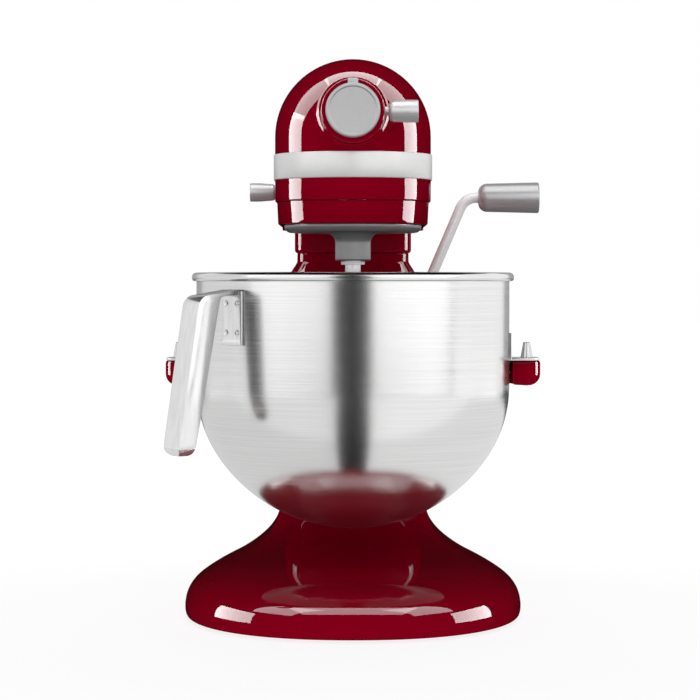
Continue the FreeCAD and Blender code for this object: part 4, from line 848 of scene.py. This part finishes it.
tray_height = HEAD_SEAM - TRAY_BOTTOM
tray = prism(u_outline(TRAY_RADIUS, HEAD_REAR), tray_height - TRAY_GAP, at=(0, 0, TRAY_BOTTOM))
soften(tray, TRAY_EDGE, lambda edge: middle(edge).z < TRAY_BOTTOM + MM
       and middle(edge).y < HEAD_REAR - MM)
for vert in tray.verts:
    lean = TRAY_TAPER * (HEAD_SEAM - vert.co.z) / tray_height
    vert.co -= Vector((vert.co.x, min(vert.co.y, 0), 0)).normalized() * lean
neck = prism(plate(-NECK_HALF_WIDTH, NECK_HALF_WIDTH, NECK_FRONT, NECK_REAR, NECK_CORNER),
             TRAY_BOTTOM - column_high.z + MM, at=(0, 0, column_high.z))
soften(neck, NECK_EDGE, lambda edge: middle(edge).z < column_high.z + MM)
weld_on(tray, neck)
finish("lower_casting", tray, paint, "stand", ["gearcase_lower"], "red_paint")

# %% [markdown]
# The rear cover is the same dome turned the other way, with five cooling slots cut through its
# back. Each slot's edge is turned in, so that it reads as a cut in a thick wall.

# %% Rear cover
COVER_GAP = 0.5 * MM
cover_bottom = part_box("rear_cover")[0][2]
cover = domed_shell(HEAD_RADIUS, cover_bottom, HEAD_CENTRE, 0, forward=False)
SLOT_COUNT, SLOT_STEP, SLOT_HALF_WIDTH, SLOT_HALF_HEIGHT = 5, 8 * MM, 16 * MM, 1.6 * MM
SLOT_DROP = 28 * MM
for number in range(SLOT_COUNT):
    height = HEAD_CENTRE - SLOT_DROP + number * SLOT_STEP
    window(cover, (-SLOT_HALF_WIDTH, HEAD_RADIUS / 2, height - SLOT_HALF_HEIGHT),
           (SLOT_HALF_WIDTH, HEAD_RADIUS + MM, height + SLOT_HALF_HEIGHT),
           Vector((0, -LIP, 0)))
fold = turn_in(cover, border_of(cover, lambda at: abs(at.y) < MM), LIP,
               lambda at: (at.x, 0, max(at.z - HEAD_CENTRE, 0)))
bevelled(cover, fold, SEAM_EDGE, clamp=False)
bmesh.ops.holes_fill(
    cover, edges=border_of(cover, lambda at: at.z < cover_bottom + MM / 10), sides=0)
cover.transform(Matrix.Translation((0, HEAD_REAR + COVER_GAP / 2, 0)))
finish("rear_dome", cover, paint, "stand", ["rear_cover"], "red_paint")

# %% [markdown]
# The trim band runs round the head like a belt. It is a thin strip, so its section is drawn as
# a flat bar with softened edges, made from the head's own U outline and given a wall.

# %% Trim band
band_low, band_high = corners_of(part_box("trim_band"))
BAND_EDGE = 0.5 * MM
BAND_SINK = 0.3 * MM
band = prism(u_outline(band_high.x, HEAD_REAR, 64), band_high.z - band_low.z,
             at=(0, 0, band_low.z))
soften(band, BAND_EDGE, lambda edge: abs(middle(edge).z - (band_low.z + band_high.z) / 2) > MM
       and middle(edge).y < HEAD_REAR - MM)
flat = [face for face in band.faces if abs(face.normal.z) > 0.99 or face.normal.y > 0.99]
bmesh.ops.delete(band, geom=flat, context="FACES")
turn_in(band, border_of(band), band_high.x - HEAD_RADIUS + BAND_SINK,
        lambda at: (at.x, min(at.y, 0), 0))
finish("head_band", band, band_silver_painted_lighter, "stand", ["trim_band"], "satin_silver")

# %% [markdown]
# ## Power hub
# A hinged disc covers the hub. It is turned with a raised rim and a shallow dish, and carries
# no mark. Its hinge lug is a small rounded prism behind the rim.

# %% Hub disc
disc_low, disc_high = corners_of(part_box("hub_cover"))
DISC_RADIUS = disc_high.x
DISC_DEPTH = 4 * MM
DISH = 0.45 * MM
disc = lathe(rounded([
    (0, 0), (DISC_RADIUS, 0, 0.8 * MM), (DISC_RADIUS, DISC_DEPTH, 1.1 * MM),
    (DISC_RADIUS - 2.2 * MM, DISC_DEPTH, 0.4 * MM), (DISC_RADIUS - 3 * MM, DISC_DEPTH - DISH, MM),
    (0, DISC_DEPTH - DISH)], 5), (0, disc_low.y + DISC_DEPTH, HUB_HEIGHT), "front", 128)
LUG_RADIUS = 2.5 * MM
LUG_WIDTH = 7.4 * MM
pin = centre_of(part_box("hub_cover_pin"))
lug = prism(rounded([
    (disc_low.y + 1.2 * MM, HUB_HEIGHT + DISC_RADIUS - 4 * MM),
    (disc_low.y + DISC_DEPTH, HUB_HEIGHT + DISC_RADIUS - 4 * MM),
    (pin.y + LUG_RADIUS, pin.z - LUG_RADIUS, LUG_RADIUS * 0.9),
    (pin.y + LUG_RADIUS, pin.z + LUG_RADIUS, LUG_RADIUS * 0.9),
    (disc_low.y + 1.2 * MM, pin.z + LUG_RADIUS, 1.5 * MM)]), LUG_WIDTH, "YZ",
    (-LUG_WIDTH / 2, 0, 0))
weld_on(disc, soften(lug, 0.5 * MM))
finish("hub_disc", disc, silver, "hub_flap", ["hub_cover"], "satin_silver")

# %% [markdown]
# The thumb screw beside the hub is a turned handle with a round inner shoulder and a flat end on
# a thinner stem. The speed lever's handle has the same outline at a smaller size.

# %% Thumb screw
def turned_size(box):
    """The corners, middle, radius and length of a box round a shape turned about the X axis."""
    near, far = corners_of(box)
    return near, far, (near + far) / 2, (far.z - near.z) / 2, far.x - near.x


def handle_outline(length, stem, inner, outer, shoulder, edge, stem_length):
    """A bullet-shaped knob on a stem. The stem ends below 0, and the flat end is at length."""
    return rounded([
        (0, -stem_length), (stem, -stem_length, 0.5 * MM), (stem, 0), (inner, 0, shoulder),
        (outer, length * 0.62), (outer, length, edge), (outer - 1.6 * MM, length, 0.4 * MM),
        (outer - 2.4 * MM, length - 0.5 * MM), (0, length - 0.5 * MM)])


knob_low, knob_high, knob_mid, KNOB_RADIUS, _ = turned_size(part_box("attachment_knob"))
KNOB_LENGTH = 21.5 * MM
knob = lathe(handle_outline(KNOB_LENGTH, 3.3 * MM, KNOB_RADIUS - 0.6 * MM, KNOB_RADIUS, 4 * MM,
                            0.8 * MM, knob_high.x - KNOB_LENGTH - knob_low.x),
             (knob_high.x - KNOB_LENGTH, knob_mid.y, knob_mid.z), "right", 64)
finish("thumb_screw_handle", knob, knob_silver_painted_lighter, "thumb_screw", ["attachment_knob"], "satin_silver")

# %% [markdown]
# The speed lever is a smaller handle of the same family on a flat arm. The arm slides in a slot
# through the casting, behind a black wiper that keeps dust out.

# %% Speed lever
_, lever_high, lever_mid, SPEED_RADIUS, SPEED_LENGTH = turned_size(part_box("speed_knob"))
speed = lathe(handle_outline(SPEED_LENGTH, 3.0 * MM, SPEED_RADIUS - MM, SPEED_RADIUS, 3 * MM,
                             0.7 * MM, 2.5 * MM),
              (lever_high.x, lever_mid.y, lever_mid.z), "left", 64)
finish("speed_handle", speed, knob_silver_painted_lighter, "speed", ["speed_knob"], "satin_silver")

WIPER_PAST, WIPER_RISE, WIPER_THICKNESS = 3 * MM, 2.5 * MM, 0.6 * MM
wiper = prism(plate(slot_low.y - TRAVEL - WIPER_PAST, slot_high.y + WIPER_PAST,
                    slot_low.z - WIPER_RISE, slot_high.z + WIPER_RISE, 3 * MM),
              WIPER_THICKNESS, "YZ", (-HEAD_RADIUS + LIP, 0, 0))
finish("slot_wiper", soften(wiper, 0.2 * MM), rubber, "stand", slot="black_rubber")

# %% [markdown]
# ## Whisking head
# The turning plate and its offset boss are one die casting. Each is turned on its own axis, and
# the boss's root flares out in a fillet that meets the plate's flat underside.

# %% Turning plate
plate_low, plate_high = corners_of(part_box("planetary_hub"))
PLATE_TOP = 295.8 * MM
PLATE_THICKNESS = 5.8 * MM
PLATE_RADIUS = plate_high.x - 0.6 * MM
BOSS_RADIUS_LOW = 13 * MM
shaft_low, shaft_high = corners_of(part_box("agitator_shaft"))
TOOL_LINE = (shaft_low.y + shaft_high.y) / 2
TOOL_RADIUS = shaft_high.x
turning = lathe(rounded([
    (8 * MM, PLATE_TOP), (8 * MM, PLATE_TOP - PLATE_THICKNESS),
    (PLATE_RADIUS, PLATE_TOP - PLATE_THICKNESS, 4.6 * MM), (PLATE_RADIUS, PLATE_TOP, 0.4 * MM),
    (8 * MM, PLATE_TOP)]), steps=128)
drop = PLATE_TOP - PLATE_THICKNESS
boss = lathe(rounded([
    (TOOL_RADIUS + 0.4 * MM, drop), (TOOL_RADIUS + 0.4 * MM, plate_low.z),
    (BOSS_RADIUS_LOW, plate_low.z, 1.3 * MM), (BOSS_RADIUS_LOW, drop - 0.1 * MM, 8 * MM),
    (BOSS_RADIUS_LOW + 8.5 * MM, drop - 0.1 * MM)]), (0, TOOL_LINE, 0), steps=80)
weld_on(turning, boss)
hub_nut = lathe(rounded([
    (0, drop - 3.2 * MM), (10 * MM, drop - 3.2 * MM, 1.2 * MM), (11 * MM, drop + MM)]), steps=64)
weld_on(turning, hub_nut)
finish("turning_plate", turning, plate_silver_painted_darker, "planetary", ["planetary_hub"], "satin_silver")

# %% [markdown]
# ## Bowl
# The bowl is spun over a former from one disc of steel. Its side is a cylinder that turns in
# through a large arc and ends in a flatter arc across the bottom, and its edge is rolled over
# into a bead. The two arcs meet smoothly, because their centres lie on one line with the point
# where they meet.

# %% Bowl
bowl_low, bowl_high = corners_of(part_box("bowl"))
WALL = 1.2 * MM
BOWL_RADIUS = 116.5 * MM
SIDE_CURVE = 95 * MM
CURVE_TOP = 176 * MM
BEAD = bowl_high.x - BOWL_RADIUS
BEAD_HEIGHT = 6.8 * MM


def bowl_side(inset):
    """The wall's line from the bottom of the axis up to the bead, drawn in by the inset."""
    offset, depth = BOWL_RADIUS - SIDE_CURVE, CURVE_TOP - bowl_low.z
    bottom_curve = (offset ** 2 + depth ** 2 - SIDE_CURVE ** 2) / (depth - SIDE_CURVE) / 2
    centre_height = bowl_low.z + bottom_curve
    slope = math.degrees(math.atan2(CURVE_TOP - centre_height, offset))
    flat_part = arc((0, centre_height), bottom_curve - inset, -90, slope, 32)
    round_part = arc((offset, CURVE_TOP), SIDE_CURVE - inset, slope, 0, 32)
    return flat_part + round_part[1:]


bead_low = bowl_high.z - BEAD_HEIGHT
bead = rounded([
    (BOWL_RADIUS, bead_low - MM), (BOWL_RADIUS, bead_low + 0.5 * MM, 0.3 * MM),
    (BOWL_RADIUS + BEAD, bead_low + 0.3 * MM, 2.2 * MM),
    (BOWL_RADIUS + BEAD, bowl_high.z, 3.2 * MM),
    (BOWL_RADIUS - WALL, bowl_high.z, 1.4 * MM), (BOWL_RADIUS - WALL, bead_low)])
bowl = lathe(bowl_side(0) + bead + bowl_side(WALL)[::-1], steps=192)
finish("mixing_bowl", bowl, bowl_steel, "bowl", ["bowl"], "bowl_steel", crease=50)

# %% [markdown]
# The bowl's handle is folded from sheet: a channel that is open towards the bowl, bent over to a
# flat strap at the top and round at its lower end. It is cut from the overlap of two prisms, one
# with the side view and one with the tongue-shaped face view. Its outer edges are rounded, the
# side towards the bowl is opened, and the skin is given the thickness of the sheet.

# %% Bowl handle
HANDLE_TURN = math.radians(47)
HANDLE_WIDTH = 18 * MM
HANDLE_DEPTH = 18 * MM
SHEET = 1.5 * MM
STRAP = 3.6 * MM
REACH_TOP = 155 * MM
REACH_BOTTOM = 175 * MM
HANDLE_TOP = 248 * MM
HANDLE_BOTTOM = 131 * MM
SEAT = BOWL_RADIUS + 2.2 * MM
handle_place = Matrix.Rotation(-math.pi / 2 - HANDLE_TURN, 4, "Z")

side_view = prism(rounded([
    (SEAT, HANDLE_TOP - STRAP),
    (REACH_TOP - HANDLE_DEPTH - MM, HANDLE_TOP - STRAP - 1.6 * MM, 4 * MM),
    (REACH_BOTTOM - HANDLE_DEPTH + 3 * MM, HANDLE_BOTTOM, 3 * MM),
    (REACH_BOTTOM, HANDLE_BOTTOM, 6 * MM), (REACH_TOP, HANDLE_TOP - 5 * MM, 10 * MM),
    (SEAT, HANDLE_TOP)], 6), HANDLE_WIDTH, "XZ", (0, -HANDLE_WIDTH / 2, 0))
half = HANDLE_WIDTH / 2
tongue = prism(rounded([
    (-half, HANDLE_BOTTOM - 0.2 * MM, half * 0.94), (half, HANDLE_BOTTOM - 0.2 * MM, half * 0.94),
    (half, HANDLE_TOP + MM), (-half, HANDLE_TOP + MM)], 8), REACH_BOTTOM * 2, "YZ")
handle = carved(side_view, tongue, "INTERSECT", 2.2 * MM, 4)
opened = [face for face in handle.faces if face.normal.x < -0.86
          and face.calc_area() > 20 * MM * MM and face.calc_center_median().z < HANDLE_TOP - MM]
bmesh.ops.delete(handle, geom=opened, context="FACES")
handle = baked(handle, [("SOLIDIFY", {"thickness": SHEET, "offset": -1.0,
                                      "use_even_offset": True})])
handle.transform(handle_place)
strap = finish("folded_handle", handle, pressed_steel, "bowl", ["bowl_handle"], "bowl_steel")

# %% [markdown]
# A small plate joins the handle to the bowl. It follows the wall's curve and is held by four
# spot welds, which leave shallow round dimples. The plate is a softened slab wrapped round the
# bowl: each point's distance across becomes an angle.

# %% Handle bracket
PLATE_WIDTH = 21 * MM
PLATE_HEIGHT = 39 * MM
PLATE_DEPTH = 2 * MM
WELD_RADIUS = 1.7 * MM


def wrap(shape, read):
    """Wraps a slab round the bowl. Each point is read as a distance across, out and up."""
    for vert in shape.verts:
        across, out, up = read(vert.co)
        angle = across / BOWL_RADIUS
        radius = BOWL_RADIUS + 0.1 * MM + out
        vert.co = Vector((math.cos(angle) * radius, math.sin(angle) * radius, up))


bracket = bmesh.new()
bmesh.ops.create_grid(bracket, x_segments=12, y_segments=8, size=0.5)
bracket.transform(Matrix.Diagonal((PLATE_WIDTH, PLATE_HEIGHT, 1, 1)))
pushed(bracket, bracket.faces[:], (0, 0, PLATE_DEPTH))
soften(bracket, 0.7 * MM, lambda edge: edge.calc_face_angle(0) > 1)
for across in (-1, 1):
    for up in (-1, 1):
        weld = lathe(rounded([(0, 0.35 * MM), (0.7 * MM, 0.35 * MM, 0.5 * MM),
                              (WELD_RADIUS, 0.9 * MM, 0.5 * MM), (WELD_RADIUS + 0.6 * MM, 0)], 4),
                     (across * 5.8 * MM, up * 10.5 * MM, PLATE_DEPTH), steps=24)
        weld_on(bracket, weld)
bracket_middle = HANDLE_TOP - MM - PLATE_HEIGHT / 2
wrap(bracket, lambda at: (at.x, at.z, bracket_middle + at.y))
bracket.transform(handle_place)
tab = finish("handle_plate", bracket, pressed_steel, "bowl", ["handle_bracket"], "bowl_steel")
for piece in (strap, tab):
    sheetwork.objects.link(piece)

# %% [markdown]
# Two ears are welded to the bowl. Each is a folded strip: an upright leaf on the wall, and a
# flat leaf with a hole that drops over a pin. The upright leaf is wrapped round the wall the
# same way as the handle's plate, and the flat one is cut from a rounded outline.

# %% Bowl ears
ear_low, ear_high = corners_of(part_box("bowl_ears"))
pin_low, pin_high = corners_of(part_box("locating_pins"))
EAR_THICKNESS = 2 * MM
EAR_HALF = ear_high.y
PIN_RADIUS = 4.65 * MM
PIN_LINE = pin_high.x - PIN_RADIUS


def ear_cutter(radius, across, steps):
    """A cylinder that reaches past the flat leaf of an ear."""
    return lathe([(0, 0), (radius, 0), (radius, 30 * MM), (0, 30 * MM)],
                 (across, 0, ear_low.z - 10 * MM), steps=steps)


def ear(side):
    """The ear on +X's side, or its mirror image."""
    flat_leaf = prism(rounded([
        (BOWL_RADIUS - 4 * MM, -EAR_HALF), (ear_high.x, -EAR_HALF, 4 * MM),
        (ear_high.x, EAR_HALF, 4 * MM), (BOWL_RADIUS - 4 * MM, EAR_HALF)]), EAR_THICKNESS,
        at=(0, 0, ear_low.z))
    leaf = carved(flat_leaf, ear_cutter(PIN_RADIUS + 0.3 * MM, PIN_LINE, 32), edge=0.4 * MM)
    leaf = carved(leaf, ear_cutter(BOWL_RADIUS, 0, 192))
    upright = box_shape((0, -EAR_HALF, ear_low.z), (EAR_THICKNESS, EAR_HALF, ear_high.z), 0.6 * MM)
    bmesh.ops.bisect_plane(upright, geom=upright.verts[:] + upright.edges[:] + upright.faces[:],
                           plane_co=(0, 0, 0), plane_no=(0, 1, 0))
    wrap(upright, lambda at: (at.y, at.x, at.z))
    weld_on(leaf, upright)
    leaf.transform(Matrix.Scale(side, 4, (1, 0, 0)))
    if side < 0:
        bmesh.ops.reverse_faces(leaf, faces=leaf.faces)
    return leaf


ears = weld_on(ear(1), ear(-1))
finish("welded_ears", ears, pressed_steel, "bowl", ["bowl_ears"], "bowl_steel")

# %% [markdown]
# ## Yoke
# The yoke is a casting that holds the bowl from behind, like two arms. Its section is a rounded
# bar that is fuller below, swept half way round the bowl, and its ends are closed and rounded.
# A block in the middle of its back reaches into the column.

# %% Yoke
yoke_low, yoke_high = corners_of(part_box("bowl_yoke"))
ARM_INNER = 119 * MM
ARM_TOP = yoke_high.z
ARM_BOTTOM = ARM_TOP - 19 * MM
ARM_OUTER = yoke_high.x
ARM_END = math.degrees(math.asin(-yoke_low.y / ARM_OUTER))
NOSE = 12 * MM
NOSE_EDGE = 4 * MM
NOSE_STEPS, ARM_STEPS = 9, 110
NECK_HALF = 16 * MM
section = rounded([
    (ARM_INNER, ARM_BOTTOM + MM, 2 * MM), (ARM_OUTER, ARM_BOTTOM, 8.5 * MM),
    (ARM_OUTER, ARM_TOP, 2.2 * MM), (ARM_INNER, ARM_TOP, 1.2 * MM)], 6)
ARM_WIDTH, ARM_HEIGHT = ARM_OUTER - ARM_INNER, ARM_TOP - ARM_BOTTOM


def drawn_in(radius, along):
    """How far a round corner is drawn in at a distance from its end."""
    return radius - math.sqrt(radius ** 2 - max(radius - along, 0) ** 2)


def arm_stations():
    """Angles round the bowl, each with its distance from the nearer end of the arms."""
    ends = [NOSE * (1 - math.cos(math.radians(90 * step / NOSE_STEPS)))
            for step in range(NOSE_STEPS + 1)]
    ends = [(math.degrees(along / ARM_OUTER), along) for along in ends]
    start, stop = -ARM_END + ends[-1][0], 180 + ARM_END - ends[-1][0]
    middles = [(start + (stop - start) * step / ARM_STEPS, NOSE)
               for step in range(1, ARM_STEPS)]
    return ([(-ARM_END + angle, along) for angle, along in ends] + middles
            + [(180 + ARM_END - angle, along) for angle, along in reversed(ends)])


yoke = bmesh.new()
rings = []
for angle, along in arm_stations():
    turned = Matrix.Rotation(math.radians(angle), 3, "Z")
    wide = 1 - drawn_in(NOSE, along) / ARM_WIDTH
    tall = 1 - 2 * drawn_in(NOSE_EDGE, along) / ARM_HEIGHT
    half_way = (ARM_TOP + ARM_BOTTOM) / 2
    rings.append([yoke.verts.new(turned @ Vector((
        ARM_INNER + (point.x - ARM_INNER) * wide, 0, half_way + (point.y - half_way) * tall)))
        for point in section])
for near_ring, far_ring in zip(rings, rings[1:]):
    for index in range(len(section)):
        after = (index + 1) % len(section)
        yoke.faces.new((near_ring[index], near_ring[after], far_ring[after], far_ring[index]))
for ring in (rings[0], rings[-1]):
    yoke.faces.new(ring)
outward(yoke)
neck_block = box_shape((-NECK_HALF, ARM_INNER + 3 * MM, yoke_low.z),
                       (NECK_HALF, yoke_high.y, ARM_TOP - 0.4 * MM), 2.5 * MM)
weld_on(yoke, neck_block)
finish("yoke_casting", yoke, paint, "carriage", ["bowl_yoke"], "red_paint")

# %% [markdown]
# The pins are turned to a cone and then fluted. The flutes are a ripple on the turned surface:
# each point's distance from the pin's axis changes with its angle, more at the foot than at the
# round tip.

# %% Locating pins
FLUTES = 12
FLUTE_DEPTH = 0.35 * MM
PIN_TIP = 2.6 * MM


def fluted_pin(side):
    """One pin: a turned cone with a ripple round it."""
    cone_foot = ear_low.z + EAR_THICKNESS
    shape = lathe(rounded([
        (0, pin_low.z), (PIN_RADIUS, pin_low.z), (PIN_RADIUS, cone_foot, 0.8 * MM),
        (PIN_RADIUS - 0.2 * MM, cone_foot + 0.5 * MM), (PIN_TIP, pin_high.z, 0.9 * MM),
        (0, pin_high.z)], 5), steps=FLUTES * 6)
    for vert in shape.verts:
        if vert.co.z > cone_foot:
            ripple = 1 - math.cos(FLUTES * math.atan2(vert.co.y, vert.co.x))
            vert.co.xy *= 1 - FLUTE_DEPTH * ripple / PIN_RADIUS
    shape.transform(Matrix.Translation((side * PIN_LINE, 0, 0)))
    return shape


finish("fluted_pins", weld_on(fluted_pin(1), fluted_pin(-1)), turned_steel, "carriage",
       ["locating_pins"], "bright_rod", crease=60)

# %% [markdown]
# ## Lift lever
# The grip is turned: a round shoulder where the rod enters, a body that grows slightly towards
# its flat end, and a shallow dish in that end. The collar on the shaft is turned too, with a
# flat cap that covers the shaft's end.

# %% Grip and collar
grip_low, _, grip_mid, GRIP_RADIUS, GRIP_LENGTH = turned_size(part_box("lift_grip"))
grip = lathe(rounded([
    (0, 0), (GRIP_RADIUS - 1.2 * MM, 0, 7 * MM), (GRIP_RADIUS, GRIP_LENGTH, 1.2 * MM),
    (GRIP_RADIUS - 2.4 * MM, GRIP_LENGTH, 0.5 * MM),
    (GRIP_RADIUS - 3.4 * MM, GRIP_LENGTH - 0.8 * MM, 0.6 * MM), (0, GRIP_LENGTH - 0.8 * MM)]),
    (grip_low.x, grip_mid.y, grip_mid.z), "right")
finish("lever_grip", grip, grip_silver_painted_lighter, "lever", ["lift_grip"], "satin_silver")

hub_low, _, hub_mid, HUB_RADIUS, HUB_LENGTH = turned_size(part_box("lever_collar"))
collar = lathe(rounded([
    (0, 0), (HUB_RADIUS, 0, 0.8 * MM), (HUB_RADIUS, HUB_LENGTH, 2.2 * MM),
    (HUB_RADIUS - 4.5 * MM, HUB_LENGTH, 0.4 * MM),
    (HUB_RADIUS - 5 * MM, HUB_LENGTH - 0.6 * MM, 0.3 * MM), (0, HUB_LENGTH - 0.6 * MM)]),
    (hub_low.x, hub_mid.y, hub_mid.z), "right", 64)
finish("lever_hub", collar, silver, "lever", ["lever_collar"], "satin_silver")

# %% [markdown]
# ## Pedestal
# The foot and the column are one casting, with a concave flare between them. It grows from
# rings: a ring of points is drawn on the floor, and is pushed up and reshaped station by
# station. Subdivision then rounds the whole, which keeps reflections smooth. Each station says
# how far the width and the reach to the front have gone from the column to the foot.

# %% Pedestal stations
base_low, base_high = corners_of(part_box("pedestal"))
COLUMN_HALF_WIDTH = 49 * MM
COLUMN_FRONT = 143 * MM
COLUMN_REAR = 244 * MM
COLUMN_CENTRE = 192 * MM
FOOT_CENTRE = 40 * MM
CASTING_WALL = 4.5 * MM
RING_POINTS = 48
# height in millimetres, share of the width, of the reach, of the centre, and bluntness
STATIONS = [
    (2, 0.975, 0.985, 1.0, 2.2), (2.6, 0.99, 0.995, 1.0, 2.2), (5, 1.005, 1.003, 1.0, 2.2),
    (11, 1.01, 1.006, 1.0, 2.2), (19, 0.99, 1.0, 1.0, 2.2), (24.5, 0.95, 0.99, 1.0, 2.2),
    (28.5, 0.90, 0.965, 0.99, 2.2), (33, 0.805, 0.91, 0.967, 2.25), (37, 0.69, 0.82, 0.9, 2.4),
    (40, 0.56, 0.66, 0.78, 2.6), (43.5, 0.44, 0.47, 0.62, 3.1), (48, 0.32, 0.30, 0.43, 4.0),
    (56, 0.20, 0.15, 0.25, 5.2), (68, 0.13, 0.07, 0.13, 6.6), (90, 0.09, 0.025, 0.045, 7.6),
    (122, 0.072, 0.008, 0.0, 8.0), (200, 0.066, 0.004, 0.0, 8.0), (245, 0.062, 0.004, 0.0, 8.0),
    (256, 0.048, 0.002, 0.0, 8.0), (261.5, 0.022, -0.004, 0.0, 8.0),
    (268.6, -0.041, -0.014, 0.0, 8.0), (270, -0.046, -0.015, 0.0, 8.0),
    (272, -0.047, -0.015, 0.0, 8.0), (275.8, -0.047, -0.015, 0.0, 8.0),
    (276.6, -0.048, -0.0155, 0.0, 8.0), (277, -0.054, -0.017, 0.0, 8.0),
]


def shape_ring(ring, height, spread, reach, shift, bluntness):
    """Puts a ring of points on a blunt oval whose front and rear halves differ in length."""
    half_width = COLUMN_HALF_WIDTH + spread * (base_high.x - COLUMN_HALF_WIDTH)
    front = COLUMN_FRONT + reach * (base_low.y - COLUMN_FRONT)
    rear = COLUMN_REAR + spread * (base_high.y - COLUMN_REAR)
    centre = COLUMN_CENTRE + shift * (FOOT_CENTRE - COLUMN_CENTRE)
    for index, vert in enumerate(ring):
        angle = math.tau * index / len(ring)
        across, along = math.cos(angle), math.sin(angle)
        length = rear - centre if along > 0 else centre - front
        vert.co = Vector((
            math.copysign(abs(across) ** (2 / bluntness), across) * half_width,
            centre + math.copysign(abs(along) ** (2 / bluntness), along) * length, height * MM))


def grow_casting():
    """The cage of the foot and the column, grown ring by ring."""
    shape = bmesh.new()
    ring = bmesh.ops.create_circle(shape, segments=RING_POINTS, radius=1)["verts"]
    edges = shape.edges[:]
    for number, station in enumerate(STATIONS):
        if number:
            edges, ring = extruded(shape, edges)
            shape.verts.index_update()
            ring.sort(key=lambda vert: vert.index)
        shape_ring(ring, *station)
    bmesh.ops.holes_fill(shape, edges=edges, sides=0)
    return outward(shape)


sample = grow_casting()
print("pedestal cage:", len(sample.faces), "faces")
sample.free()

# %% [markdown]
# The yoke's neck passes through an upright slot in the front of the column. It is cut in the
# smooth skin, and only then is the skin given the thickness of the casting, so that the slot's
# edge and the open underside show a real wall.

# %% Pedestal
carriage_low = corners_of(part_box("lift_carriage"))[0]
LIFT_TRAVEL = -limits_of("bowl_lift")[0]
SLOT_GAP = MM
SLOT_BEHIND, SLOT_BEFORE = 12 * MM, 20 * MM
pedestal = baked(grow_casting(), [("SUBSURF", {"levels": 2, "render_levels": 2})])
window(pedestal, (-NECK_HALF - SLOT_GAP, COLUMN_FRONT - SLOT_BEFORE,
                  carriage_low.z - LIFT_TRAVEL - 4 * SLOT_GAP),
       (NECK_HALF + SLOT_GAP, COLUMN_FRONT + SLOT_BEHIND, ARM_TOP + 4 * SLOT_GAP),
       Vector((0, 1, 0)), fold=False)
pedestal = baked(pedestal, [("SOLIDIFY", {"thickness": CASTING_WALL, "offset": -1.0})])
casting = finish("pedestal_casting", pedestal, paint, "stand", ["pedestal"], "red_paint")
foot.objects.link(casting)
upper.objects.unlink(casting)
